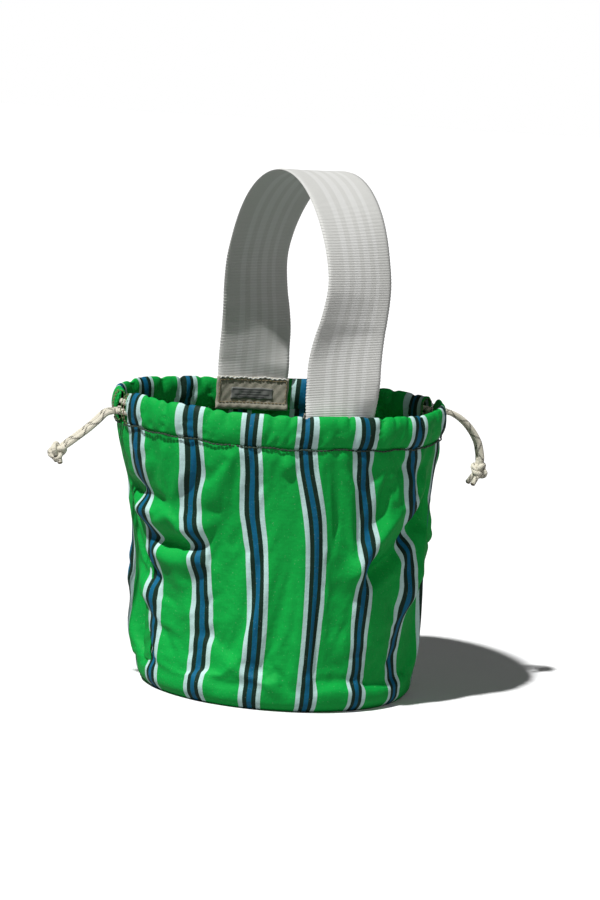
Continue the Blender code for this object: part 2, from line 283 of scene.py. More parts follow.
def weave_group():
    """Plain weave: raised warp and weft threads, and thread-by-thread differences in shade."""
    if "Plain weave" in bpy.data.node_groups:
        return bpy.data.node_groups["Plain weave"]
    tree, given, out = new_group(
        "Plain weave",
        (("Vector", "Vector", None), ("Thread", "Float", 0.0004), ("Slub", "Float", 0.5)),
        (("Height", "Float"), ("Shade", "Float")))
    across, along, _ = tree.split(given.outputs["Vector"])
    turn = tree.math("DIVIDE", pi, given.outputs["Thread"])
    warp = tree.math("SINE", tree.math("MULTIPLY", across, turn))
    weft = tree.math("SINE", tree.math("MULTIPLY", along, turn))
    height = tree.math("MULTIPLY_ADD", tree.math("MULTIPLY", warp, weft), 0.5, 0.5)
    long_slub = tree.noise(tree.stretched(given.outputs["Vector"], (2200.0, 60.0, 1.0)), 1.0, 3.0)
    cross_slub = tree.noise(tree.stretched(given.outputs["Vector"], (60.0, 2200.0, 1.0)), 1.0, 3.0)
    slub = tree.math("SUBTRACT", tree.math("ADD", long_slub, cross_slub), 1.0)
    shade = tree.math("MULTIPLY_ADD", slub, given.outputs["Slub"], 0.5)
    tree.feed(out.inputs["Height"], height)
    tree.feed(out.inputs["Shade"], shade)
    return bpy.data.node_groups["Plain weave"]


def wear_group():
    """Slow, uneven fading and soil, and small flecks of lint."""
    if "Fading and lint" in bpy.data.node_groups:
        return bpy.data.node_groups["Fading and lint"]
    tree, given, out = new_group(
        "Fading and lint",
        (("Colour", "Color", None), ("Fading", "Float", 0.15), ("Lint", "Float", 0.2)),
        (("Colour", "Color"), ("Mask", "Float")))
    place = tree.add("ShaderNodeTexCoord").outputs["Object"]
    broad = tree.noise(place, 22.0, 4.0, 0.55)
    fine = tree.noise(place, 900.0, 2.0)
    shift = tree.math("MULTIPLY_ADD", tree.math("SUBTRACT", broad, 0.5), given.outputs["Fading"], 1.0)
    faded = tree.add("ShaderNodeHueSaturation", {"Color": given.outputs["Colour"], "Value": shift})
    fleck = tree.math("MULTIPLY", tree.band(fine, 0.70, 1.2, 0.02), given.outputs["Lint"])
    tree.feed(out.inputs["Colour"], tree.mix(fleck, faded.outputs[0], (0.75, 0.78, 0.74, 1.0)))
    tree.feed(out.inputs["Mask"], broad)
    return bpy.data.node_groups["Fading and lint"]


def start_material(name, **constants):
    """A material with a Principled shader whose plain values are set on its own sockets."""
    made = bpy.data.materials.new(name)
    made.use_nodes = True
    shader = made.node_tree.nodes["Principled BSDF"]
    for label, value in constants.items():
        shader.inputs[label.replace("_", " ")].default_value = value
    return made, Tree(made.node_tree), shader


def bump(tree, shader, height, depth):
    """Raise the surface by a height of 0 to 1 times depth."""
    node = tree.add("ShaderNodeBump", {"Height": height, "Distance": depth, "Strength": 1.0})
    tree.feed(shader.inputs["Normal"], node.outputs[0])


def finish_colour(tree, shader, colour, fading, lint):
    """Set the base colour, faded and flecked, and return the fading mask."""
    wear = tree.add("ShaderNodeGroup", node_tree=wear_group())
    tree.feed(wear.inputs["Colour"], colour)
    wear.inputs["Fading"].default_value = fading
    wear.inputs["Lint"].default_value = lint
    tree.feed(shader.inputs["Base Color"], wear.outputs["Colour"])
    return wear.outputs["Mask"]


def shaded(tree, colour, shade, amount):
    """A colour made lighter and darker by a shade that is 0.5 on average."""
    value = tree.math("MULTIPLY_ADD", tree.math("SUBTRACT", shade, 0.5), amount, 1.0)
    return tree.add("ShaderNodeHueSaturation", {"Color": colour, "Value": value}).outputs[0]


def cotton():
    """Striped cotton; its UV map is the flat cloth in metres, U round the bag and V up."""
    made, tree, shader = start_material("striped_cotton", Roughness=0.62, Specular_IOR_Level=0.14)
    size, tone = sizes(), colours()
    cloth = tree.add("ShaderNodeUVMap", uv_map="cloth").outputs[0]
    weave = tree.add("ShaderNodeGroup", {"Vector": cloth, "Thread": 0.00042, "Slub": 0.55},
                     node_tree=weave_group())
    along = tree.split(cloth)[0]
    edge_noise = tree.noise(tree.stretched(cloth, (300.0, 2400.0, 1.0)), 1.0, 1.0)
    wobble = tree.math("MULTIPLY", tree.math("SUBTRACT", edge_noise, 0.5), 0.0004)
    from_group = tree.math("SUBTRACT", tree.math("ADD", along, wobble),
                           size.first_stripe - size.stripe_pitch / 2)
    wrapped = tree.math("WRAP", from_group, size.stripe_pitch, 0.0)
    off_middle = tree.math("ABSOLUTE", tree.math("SUBTRACT", wrapped, size.stripe_pitch / 2))
    blue_edge = size.blue_stripe / 2
    dark_edge = blue_edge + size.dark_stripe
    white_edge = dark_edge + size.white_stripe
    soft = 0.00012
    colour = (*tone.green, 1.0)
    for low, high, stripe in ((dark_edge, white_edge, tone.white), (blue_edge, dark_edge, tone.dark),
                              (-1.0, blue_edge, tone.blue)):
        colour = tree.mix(tree.band(off_middle, low, high, soft), colour, (*stripe, 1.0))
    colour = shaded(tree, colour, weave.outputs["Shade"], 0.55)
    mask = finish_colour(tree, shader, colour, 0.16, 0.10)
    tree.feed(shader.inputs["Roughness"], tree.math("MULTIPLY_ADD", mask, 0.14, 0.54))
    crease = tree.noise(tree.stretched(cloth, (90.0, 90.0, 1.0)), 1.0, 5.0, 0.6)
    height = tree.math("MULTIPLY_ADD", weave.outputs["Height"], 0.35, tree.math("MULTIPLY", crease, 4.0))
    bump(tree, shader, height, 0.00022)
    return made


def webbing_material():
    """Woven webbing: cross ribs, glossy lengthwise satin bands, slight uneven fading and soil."""
    made, tree, shader = start_material("handle_webbing", Roughness=0.42, Sheen_Weight=0.10,
                                        Specular_IOR_Level=0.5, Anisotropic=0.3)
    size, tone = sizes(), colours()
    strip = tree.add("ShaderNodeUVMap", uv_map="strip").outputs[0]
    across, along, _ = tree.split(strip)
    width = size.webbing_width
    bands = tree.band(across, 0.24 * width, 0.32 * width, 0.0004)
    for low, high in ((0.40, 0.50), (0.57, 0.66), (0.74, 0.80)):
        bands = tree.math("ADD", bands, tree.band(across, low * width, high * width, 0.0004))
    twill_turn = tree.math("ADD", tree.math("MULTIPLY", across, 2 * pi / 0.0009),
                           tree.math("MULTIPLY", along, 2 * pi / (2 * size.webbing_rib)))
    yarns = tree.half_wave(twill_turn)
    ribs = tree.half_wave(tree.math("MULTIPLY", along, 2 * pi / size.webbing_rib))
    fine = tree.noise(tree.stretched(strip, (2600.0, 120.0, 1.0)), 1.0, 3.0)
    plain = tree.mix(fine, tuple(c * 0.90 for c in tone.webbing) + (1.0,), (*tone.webbing, 1.0))
    # Painted sheen: the satin bands are painted lighter, on top of their real lower roughness.
    shine = tree.mix(tree.math("MULTIPLY", bands, 0.45), plain, (0.74, 0.74, 0.73, 1.0))
    # Painted shade: the grooves between the cross ribs are painted darker.
    groove_shade = tree.math("MULTIPLY", tree.math("SUBTRACT", 1.0, ribs), 0.30)
    colour = tree.mix(groove_shade, shine, (0.36, 0.36, 0.34, 1.0))
    finish_colour(tree, shader, colour, 0.08, 0.05)
    rough = tree.math("MULTIPLY_ADD", bands, -0.16, 0.48)
    tree.feed(shader.inputs["Roughness"], tree.math("MULTIPLY_ADD", fine, 0.10, rough))
    between = tree.math("MULTIPLY", yarns, tree.math("MULTIPLY_ADD", bands, -0.25, 0.5))
    bump(tree, shader, tree.math("ADD", ribs, between), 0.00016)
    return made


def twill_material():
    """Slanting twill ribs with a dusty, faded ground."""
    made, tree, shader = start_material("twill_patch", Roughness=0.88, Sheen_Weight=0.15,
                                        Specular_IOR_Level=0.25)
    tone = colours().twill
    place = tree.add("ShaderNodeTexCoord").outputs["Object"]
    x, _, z = tree.split(place)
    turn = tree.math("MULTIPLY", tree.math("ADD", x, z), 2 * pi / 0.0011)
    rib = tree.half_wave(turn)
    yarn = tree.noise(tree.stretched(place, (1800.0, 500.0, 1800.0)), 1.0, 3.0)
    # Painted shade: the hollows between the twill ribs are painted darker.
    colour = tree.mix(rib, tuple(c * 0.74 for c in tone) + (1.0,), (*tone, 1.0))
    colour = shaded(tree, colour, yarn, 0.5)
    finish_colour(tree, shader, colour, 0.35, 0.12)
    bump(tree, shader, tree.math("ADD", rib, yarn), 0.00012)
    return made


def cord_material():
    """Round braid with two dark tracer threads; U is the turn round the cord, V the length in metres."""
    made, tree, shader = start_material("braided_cord", Roughness=0.80, Sheen_Weight=0.20)
    tone = colours()
    turn, length, _ = tree.split(tree.add("ShaderNodeUVMap", uv_map="braid").outputs[0])
    lead = tree.math("MULTIPLY", length, 1 / BRAID_LAY)
    right = tree.math("ADD", turn, lead)
    left = tree.math("SUBTRACT", turn, lead)
    over = tree.math("MULTIPLY", tree.math("SINE", tree.math("MULTIPLY", right, 2 * pi * BRAID_YARNS)),
                     tree.math("SINE", tree.math("MULTIPLY", left, 2 * pi * BRAID_YARNS)))
    tracer = tree.band(tree.math("WRAP", right, 1.0, 0.0), 0.0, 1.0 / BRAID_YARNS, 0.01)
    opposite = tree.band(tree.math("WRAP", left, 1.0, 0.0), 0.5, 0.5 + 1.0 / BRAID_YARNS, 0.01)
    dark = tree.math("MULTIPLY", tree.math("MAXIMUM", tracer, opposite), tree.band(over, -0.25, 2.0, 0.08))
    yarn = tree.noise(tree.add("ShaderNodeTexCoord").outputs["Object"], 1500.0, 3.0)
    colour = tree.mix(dark, shaded(tree, (*tone.cord, 1.0), yarn, 0.5), (*tone.tracer, 1.0))
    # Painted shade: the gaps between the crossing yarns are painted darker.
    yarn_gap_shade = tree.band(over, -0.18, 0.18, 0.10)
    colour = tree.mix(tree.math("MULTIPLY", yarn_gap_shade, 0.45), colour, (0.22, 0.19, 0.14, 1.0))
    finish_colour(tree, shader, colour, 0.20, 0.05)
    bump(tree, shader, tree.math("ADD", over, yarn), 0.00012)
    return made


def thread_material(name, tone):
    """Twisted sewing thread: painted shade between the strands shows as slanting darker lines."""
    made, tree, shader = start_material(name, Roughness=0.62, Sheen_Weight=0.15)
    place = tree.add("ShaderNodeTexCoord").outputs["Object"]
    x, y, z = tree.split(place)
    slant = tree.math("ADD", tree.math("ADD", x, y), z)
    twist = tree.half_wave(tree.math("MULTIPLY", slant, 2 * pi / 0.0006))
    # Painted shade: the grooves between the strands are painted darker.
    colour = tree.mix(twist, tuple(c * 0.6 for c in tone) + (1.0,), (*tone, 1.0))
    finish_colour(tree, shader, colour, 0.20, 0.05)
    bump(tree, shader, twist, 0.00008)
    return made


def label_material():
    """Grey printed tape with plain unreadable bars."""
    made, tree, shader = start_material("printed_label", Roughness=0.70)
    place = tree.add("ShaderNodeTexCoord").outputs["Object"]
    x, _, z = tree.split(place)
    height = LABEL_HIGH.z - LABEL_LOW.z
    tape = tree.noise(tree.stretched(place, (2400.0, 1.0, 600.0)), 1.0, 2.0)
    colour = shaded(tree, (0.150, 0.155, 0.145, 1.0), tape, 0.5)
    bars = 0.0
    span = LABEL_HIGH.x - LABEL_LOW.x
    for share, left, right in ((0.84, 0.02, 0.98), (0.62, 0.24, 0.72),
                               (0.40, 0.08, 0.92), (0.18, 0.20, 0.80)):
        middle = LABEL_LOW.z + share * height
        row = tree.band(z, middle - 0.07 * height, middle + 0.05 * height, 0.0001)
        reach = tree.band(x, LABEL_LOW.x + left * span, LABEL_LOW.x + right * span, 0.0003)
        bars = tree.math("ADD", bars, tree.math("MULTIPLY", row, reach))
    colour = tree.mix(tree.math("MULTIPLY", bars, 0.8), colour, (0.020, 0.024, 0.024, 1.0))
    finish_colour(tree, shader, colour, 0.2, 0.15)
    bump(tree, shader, tape, 0.00006)
    return made


def melted_material():
    """Dark, glassy, lumpy melted cord end."""
    made, tree, shader = start_material("melted_tip", Roughness=0.35)
    place = tree.add("ShaderNodeTexCoord").outputs["Object"]
    lumps = tree.noise(place, 1200.0, 3.0)
    brown = tree.mix(lumps, (0.02, 0.015, 0.010, 1.0), (0.16, 0.11, 0.06, 1.0))
    tree.feed(shader.inputs["Base Color"], brown)
    bump(tree, shader, lumps, 0.0002)
    return made


def floor_material():
    """Floor that looks nearly white but throws less light back onto the bag."""
    made, tree, shader = start_material("pale_floor", Roughness=0.6, Specular_IOR_Level=0.2)
    grain = tree.noise(tree.add("ShaderNodeTexCoord").outputs["Object"], 40.0, 2.0)
    seen = tree.add("ShaderNodeLightPath").outputs["Is Camera Ray"]
    pale = tree.mix(grain, (0.90, 0.90, 0.90, 1.0), (0.93, 0.93, 0.93, 1.0))
    tree.feed(shader.inputs["Base Color"], tree.mix(seen, (0.34, 0.34, 0.34, 1.0), pale))
    return made


MAKERS = {
    "cotton": cotton, "webbing": webbing_material, "twill": twill_material, "cord": cord_material,
    "label": label_material, "melted": melted_material, "floor": floor_material,
    "seam_thread": lambda: thread_material("seam_thread", colours().seam_thread),
    "tan_thread": lambda: thread_material("tan_thread", colours().tan_thread),
    "overlock_thread": lambda: thread_material("overlock_thread", colours().overlock),
    "white_thread": lambda: thread_material("white_thread", (0.72, 0.72, 0.68)),
}
MADE = {}


def finish(name):
    """The material of that name, made at its first use."""
    if name not in MADE:
        MADE[name] = MAKERS[name]()
    return MADE[name]


# ---- mesh helpers ----
def smooth_share(value, low, high):
    """0 below low and 1 above high, with a smooth ramp between."""
    share = np.clip((value - low) / (high - low), 0.0, 1.0)
    return share * share * (3 - 2 * share)


def catmull(rows, steps):
    """Rows of a table with smooth in-between rows."""
    rows = np.asarray(rows, float)
    padded = np.vstack([2 * rows[0] - rows[1], rows, 2 * rows[-1] - rows[-2]])
    out = []
    for before, start, end, after in zip(padded, padded[1:], padded[2:], padded[3:]):
        for t in np.arange(steps) / steps:
            out.append(0.5 * (2 * start + (end - before) * t
                              + (2 * before - 5 * start + 4 * end - after) * t ** 2
                              + (3 * start - before - 3 * end + after) * t ** 3))
    out.append(rows[-1])
    return np.array(out)


def grid_object(name, points, uv_name, uvs, material, close_rows=False, flip=False, wrap=(0.0, 0.0)):
    """A mesh object from rows of points (rows, columns, 3), with a UV value for each point.

    With close_rows each row is a ring, and `wrap` is what its UV has gained when it is back at its start."""
    rows, columns = points.shape[:2]
    index = np.arange(rows * columns).reshape(rows, columns)
    across = np.arange(columns if close_rows else columns - 1)
    after = (across + 1) % columns
    low, high = index[:-1], index[1:]
    quads = np.stack([low[:, across], low[:, after], high[:, after], high[:, across]], -1).reshape(-1, 4)
    if flip:
        quads = quads[:, ::-1]
    mesh = bpy.data.meshes.new(name)
    mesh.from_pydata(points.reshape(-1, 3).tolist(), [], quads.tolist())
    layer = mesh.uv_layers.new(name=uv_name)
    flat = uvs.reshape(-1, 2)[quads.reshape(-1)]
    if close_rows:
        first = quads % columns == 0
        last = (quads % columns == columns - 1).any(1)
        flat.reshape(-1, 4, 2)[first & last[:, None]] += wrap
    layer.data.foreach_set("uv", flat.reshape(-1).astype(np.float32))
    mesh.materials.append(material)
    mesh.shade_smooth()
    made = bpy.data.objects.new(name, mesh)
    bpy.context.collection.objects.link(made)
    return made


def add_wall(item, thickness, offset=-1.0, levels=0):
    """Give a cloth its thickness, and smooth it first when levels is set."""
    if levels:
        smooth = item.modifiers.new("Smooth", "SUBSURF")
        smooth.levels = smooth.render_levels = levels
    wall = item.modifiers.new("Wall", "SOLIDIFY")
    wall.thickness = thickness
    wall.offset = offset


def plain_mesh(item):
    """Turn an object's evaluated result into its own plain mesh."""
    graph = bpy.context.evaluated_depsgraph_get()
    mesh = bpy.data.meshes.new_from_object(item.evaluated_get(graph))
    item.modifiers.clear()
    item.data = mesh
    return item


def smooth_route(points, step):
    """Evenly spaced points on the smooth curve through the given points, and its length."""
    fine = catmull(points, 24)
    length = np.concatenate([[0], np.cumsum(np.linalg.norm(np.diff(fine, axis=0), axis=1))])
    count = max(2, int(round(length[-1] / step)))
    places = np.linspace(0, length[-1], count + 1)
    return np.stack([np.interp(places, length, column) for column in fine.T], -1), float(length[-1])


# ---- body cloth ----
def outline_at(heights):
    """Smooth middle and half axes of the body at the given heights."""
    rows = catmull(BODY_OUTLINE, 8)
    return [np.interp(heights, rows[:, 0], rows[:, k]) for k in (1, 2, 3)]


def rim_wave(along):
    """Slow unevenness of the rim at a place along the cloth: outwards and upwards."""
    turn = 2 * pi * along / CLOTH_ROUND
    out = 0.0007 * np.sin(3 * turn + 0.8) + 0.0005 * np.sin(7 * turn + 2.1) + 0.0003 * np.sin(17 * turn)
    up = 0.0008 * np.sin(2 * turn + 1.9) + 0.0006 * np.sin(5 * turn + 0.4) + 0.0003 * np.sin(13 * turn + 1.0)
    return out, up


def flat_place(along, height):
    """Place on the flat cloth: the cloth slides along the seam where the casing is drawn up."""
    table = np.array(DRAWN_UP) / 1000
    share = smooth_share(height, 0.128, 0.172)
    return along - np.interp(along, table[:, 0], table[:, 1]) * share


def wrap_distance(along, place):
    """Signed distance along the cloth from a place, the short way round the bag."""
    return (along - place + CLOTH_ROUND / 2) % CLOTH_ROUND - CLOTH_ROUND / 2


def fold_height(along, height):
    """Outward push of the listed folds; a fold is steeper on its lower side."""
    push = np.zeros_like(along)
    for along0, z0, along1, z1, width, rise in FOLDS:
        fold = (along0, z0, along1, z1, width, FOLD_STRENGTH * rise)
        x0, z0, x1, z1, width, rise = (value / 1000 for value in fold)
        span = np.hypot(x1 - x0, z1 - z0)
        dx, dz = (x1 - x0) / span, (z1 - z0) / span
        from_start = wrap_distance(along, x0)
        share = (from_start * dx + (height - z0) * dz) / span
        side = (height - z0) * dx - from_start * dz
        side = np.where(dx < 0, -side, side)
        across = np.where(side < 0, side / (0.75 * width), side / (1.25 * width))
        ends = np.clip(np.minimum(share + 0.18, 1.18 - share) / 0.36, 0, 1)
        push += rise * np.exp(-across ** 2) * smooth_share(ends, 0, 1)
    return push


def random_creases(along, height, count, rng, lengths, widths, rise_spread):
    """Creases at seeded places in all directions; lengths and widths are ranges of half sizes."""
    push = np.zeros_like(along)
    for _ in range(count):
        x0, z0 = rng.uniform(0, CLOTH_ROUND), rng.uniform(0.004, SEAM_Z)
        turn, half = rng.uniform(-1.2, 1.2), rng.uniform(*lengths)
        width, rise = rng.uniform(*widths), rng.normal(0, rise_spread)
        from_place = wrap_distance(along, x0)
        on = from_place * cos(turn) + (height - z0) * sin(turn)
        off = -from_place * sin(turn) + (height - z0) * cos(turn) + 0.12 * on ** 2 / half
        push += rise * np.exp(-(off / width) ** 2 - (on / half) ** 2)
    return push


def seam_gathers(rng, spacing=0.0085):
    """Narrow valleys at uneven places round the seam: place, width, depth and lean of each."""
    count = int(CLOTH_ROUND / spacing)
    places = (np.arange(count) + rng.uniform(-0.42, 0.42, count)) * CLOTH_ROUND / count
    return np.stack([places, rng.uniform(0.0012, 0.0030, count), rng.uniform(0.0003, 0.0022, count),
                     rng.uniform(-0.6, 0.6, count)], -1)


def gather_depth(along, away, gathers, reach):
    """Depth of the gathers at a place; each fades out `reach` away from its seam."""
    depth = np.zeros_like(along)
    for place, width, deep, lean in gathers:
        off = wrap_distance(along, place + lean * away)
        depth += deep * np.exp(-(off / (width + 0.16 * away)) ** 2) * np.exp(-(away / reach) ** 2)
    return depth


def body_grid(columns, rows):
    """Points of the body cloth (rows, columns, 3) with its folds, and the flat place of each point."""
    rng = np.random.default_rng(sizes().wrinkle_seed)
    gathers = seam_gathers(rng)
    along = np.linspace(0, CLOTH_ROUND, columns, endpoint=False)[None, :] + np.zeros((rows, 1))
    height = np.linspace(0, SEAM_Z, rows)[:, None] + np.zeros((1, columns))
    turns = np.interp(along, SEAM_LENGTHS, SEAM_TURNS)
    middle, a, b = outline_at(height)
    out, up = rim_wave(along)
    rim_share = np.clip((height - 0.6 * SEAM_Z) / (0.4 * SEAM_Z), 0, 1) ** 2
    hold = np.clip(height / 0.010, 0, 1) * np.clip((SEAM_Z - height) / 0.012, 0, 1)
    push = fold_height(along, height) * hold
    creases = random_creases(along, height, 420, rng, (0.006, 0.024), (0.0016, 0.0030), 0.00075)
    creases += random_creases(along, height, 90, rng, (0.014, 0.040), (0.0045, 0.0095), 0.0013)
    push += creases * smooth_share(height, 0.001, 0.018)
    below = SEAM_Z - height
    push -= gather_depth(along, below + 0.006, gathers, 0.022) * 0.9 * smooth_share(below, 0.0, 0.006)
    swell = 0.0020 * np.exp(-((below - 0.011) / 0.006) ** 2)
    nip = 0.0005 * np.exp(-(below / 0.003) ** 2)
    push += out * rim_share + swell - nip
    normal = np.stack([np.cos(turns) / a, np.sin(turns) / b], -1)
    normal /= np.linalg.norm(normal, axis=-1, keepdims=True)
    x = middle + a * np.cos(turns) + normal[..., 0] * push
    y = b * np.sin(turns) + normal[..., 1] * push
    z = height + up * rim_share
    return np.stack([x, y, z], -1), np.stack([flat_place(along, height), height], -1)


def settle(points):
    """Let the cloth fall into its folds: a short simulation with the seam and the base held."""
    rows, columns = points.shape[:2]
    uvs = np.zeros((rows, columns, 2))
    item = grid_object("settling_cloth", points, "cloth", uvs, finish("cotton"), close_rows=True, flip=True)
    held = item.vertex_groups.new(name="held")
    index = np.arange(rows * columns).reshape(rows, columns)
    for row in range(rows):
        from_edge = min(row, rows - 1 - row)
        if from_edge < 4:
            held.add(index[row].tolist(), 1.0 - from_edge / 4, "REPLACE")
    cloth = item.modifiers.new("Cloth", "CLOTH")
    fabric = cloth.settings
    fabric.vertex_group_mass = "held"
    fabric.quality = 6
    fabric.mass = 0.12
    fabric.tension_stiffness = fabric.compression_stiffness = 12.0
    fabric.shear_stiffness = 6.0
    fabric.bending_stiffness = 0.35
    fabric.tension_damping = fabric.compression_damping = 8.0
    fabric.shrink_min = -0.022
    fabric.use_pressure = True
    fabric.uniform_pressure_force = 0.35
    cloth.collision_settings.use_collision = False
    cloth.point_cache.frame_start, cloth.point_cache.frame_end = 1, SETTLE_FRAMES
    scene = bpy.context.scene
    for number in range(1, SETTLE_FRAMES + 1):
        scene.frame_set(number)
    graph = bpy.context.evaluated_depsgraph_get()
    mesh = item.evaluated_get(graph).to_mesh()
    flat = np.zeros(len(mesh.vertices) * 3, np.float32)
    mesh.vertices.foreach_get("co", flat)
    settled = flat.reshape(rows, columns, 3).astype(float)
    bpy.data.objects.remove(item, do_unlink=True)
    scene.frame_set(1)
    height = points[..., 2:]
    free = smooth_share(height, 0.006, 0.040) * smooth_share(SEAM_Z - height, 0.0, 0.012)
    moved = (settled - points) * free
    far = np.linalg.norm(moved, axis=-1, keepdims=True)
    result = points + moved * np.minimum(1.0, SETTLE_LIMIT / np.maximum(far, 1e-9))
    result[..., 2] = np.maximum(result[..., 2], 0.0)
    return result


def columns_between(start, stop, columns):
    """Column numbers from one slit to the other, both included, and the wrap to the next round."""
    numbers = np.arange(start, stop + 1)
    return numbers % columns, numbers // columns


class BAG_OT_make_body(bpy.types.Operator):
    """Make the front, back and bottom of the cloth body with their folds"""
    bl_idname = "bag.make_body"
    bl_label = "Cloth Body"

    def execute(self, context):
        columns, rows = ((288, 66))
        points, places = body_grid(columns, rows)
        points = settle(points)
        half = columns // 2
        for name, start in (("front_panel", 0), ("back_panel", half)):
            chosen, rounds = columns_between(start, start + half, columns)
            flat = places[:, chosen].copy()
            flat[..., 0] += rounds * CLOTH_ROUND
            panel = grid_object(f"{name}_cloth", points[:, chosen], "cloth", flat, finish("cotton"),
                                flip=True)
            add_wall(panel, CLOTH, offset=-1.0, levels=1)
            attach(panel, "bag")
            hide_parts(name)
        self.make_bottom()
        return {"FINISHED"}

    def make_bottom(self):
        """Oval base, a little rumpled."""
        _, middle, a, b = BODY_OUTLINE[0]
        rings, spokes = 26, 96
        share = np.linspace(0.004, 1.0, rings)[:, None]
        turn = np.linspace(0, 2 * pi, spokes, endpoint=False)[None, :]
        x = middle + (a - 0.0012) * share * np.cos(turn)
        y = (b - 0.0012) * share * np.sin(turn)
        z = 0.0006 + 0.0005 * np.sin(70 * x + 2) * np.sin(90 * y) * (1 - share ** 4)
        points = np.stack([x, y, z + 0 * x], -1)
        flat = np.stack([x, y], -1)
        base = grid_object("bottom_cloth", points, "cloth", flat, finish("cotton"), close_rows=True)
        bm = bmesh.new()
        bm.from_mesh(base.data)
        bm.verts.ensure_lookup_table()
        layer = bm.loops.layers.uv.active
        centre = bm.faces.new([bm.verts[i] for i in reversed(range(spokes))])
        for loop in centre.loops:
            loop[layer].uv = loop.vert.co.xy
        bmesh.ops.recalc_face_normals(bm, faces=bm.faces[:])
        if sum(face.normal.z for face in bm.faces) > 0:
            bmesh.ops.reverse_faces(bm, faces=bm.faces[:])
        bm.to_mesh(base.data)
        bm.free()
        add_wall(base, CLOTH, offset=-1.0)
        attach(base, "bag")
        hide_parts("bottom_panel")


# ---- casing ----
def casing_section(turn):
    """Outward and upward offset of the casing's outer face: full at the top, pinched at the seam."""
    pinch = 1.0 - 0.35 * np.maximum(0.0, -np.sin(turn)) ** 2
    return CASING_THICK / 2 * np.cos(turn) * pinch, CASING_HEIGHT / 2 * np.sin(turn)


class BAG_OT_make_casing(bpy.types.Operator):
    """Make the puckered rim casing, front and back"""
    bl_idname = "bag.make_casing"
    bl_label = "Rim Casing"

    def execute(self, context):
        rng = np.random.default_rng(sizes().wrinkle_seed)
        gathers = seam_gathers(rng)
        crest = seam_gathers(rng, spacing=0.0130)
        edge = asin(SLIT_HALF / CASING_B)
        for side, turns in (("front", (-edge, edge - pi)), ("back", (-pi - edge, edge - 2 * pi))):
            columns, section = 300, 40
            turn = np.linspace(*turns, columns)[:, None]
            along = np.interp(-turn, -SEAM_TURNS, SEAM_LENGTHS) + np.zeros((1, section))
            spin = np.linspace(-pi / 2, 3 * pi / 2, section, endpoint=False)[None, :] + np.zeros((columns, 1))
            out, up = casing_section(spin)
            from_seam = CASING_HEIGHT / 2 + up
            from_crest = CASING_HEIGHT / 2 - up
            deep = gather_depth(along, from_seam, gathers, 0.012)
            deep += gather_depth(along, from_crest, crest, 0.009) * 0.9
            lean = 0.0006 * np.sin(along * 210 + 60 * up) + 0.0005 * np.sin(along * 470)
            deep = 1.6 * deep * smooth_share(from_seam, 0.0, 0.004)
            wave_out, wave_up = rim_wave(along)
            size = np.hypot(out, up)
            out_n, up_n = out / size, up / size
            over_cord = np.sqrt(np.maximum(0.0, CORD_R ** 2 - (np.abs(up) - CORD_STEP) ** 2)) + CLOTH + 0.0004
            puckered = np.abs(out) - deep * (0.35 + 0.65 * np.abs(out_n))
            thick = np.maximum(puckered, np.minimum(np.abs(out), over_cord))
            radial = thick * np.sign(out_n) + wave_out
            lift = up - deep * 0.6 * np.maximum(0.0, up_n) + wave_up
            a, b = CASING_A, CASING_B
            x = (a + radial) * np.cos(turn)
            y = (b + radial) * np.sin(turn)
            points = np.stack([x, y, RIM_Z - CASING_HEIGHT / 2 + lift], -1)
            steps = np.hypot(np.diff(out[0], append=out[0, 0]), np.diff(up[0], append=up[0, 0]))
            rise = (np.cumsum(steps) - steps)[None, :] + np.zeros((columns, 1))
            flat = np.stack([flat_place(along, SEAM_Z) + lean, rise], -1)
            cloth = grid_object(f"{side}_casing_cloth", points, "cloth", flat, finish("cotton"),
                                close_rows=True, wrap=(0.0, float(steps.sum())))
            add_wall(cloth, CLOTH, offset=-1.0)
            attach(cloth, "bag")
            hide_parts(f"{side}_casing")
        return {"FINISHED"}


# ---- webbing handle ----
def handle_route():
    """Middle line of the webbing from one sewn end to the other: Y and Z, before its lean and turn."""
    wall = PATCH_HIGH.y + 0.0008
    leg = [(-wall, PATCH_LOW.z + 0.004), (-wall, RIM_Z - 0.010), (-wall + 0.0002, RIM_Z - 0.001),
           (-wall + 0.0010, RIM_Z + 0.010), (-HANDLE_WIDE - 0.0016, RIM_Z + 0.023),
           (-HANDLE_WIDE - 0.0006, RIM_Z + 0.038), (-HANDLE_WIDE, HANDLE_WIDE_Z - 0.012)]
    rise = ARCH_TOP - 0.0008 - HANDLE_WIDE_Z
    turns = pi * np.arange(0, 13) / 12
    arch = [(-HANDLE_WIDE * cos(t), HANDLE_WIDE_Z + rise * sin(t)) for t in turns]
    return leg + arch + [(-y, z) for y, z in reversed(leg)]


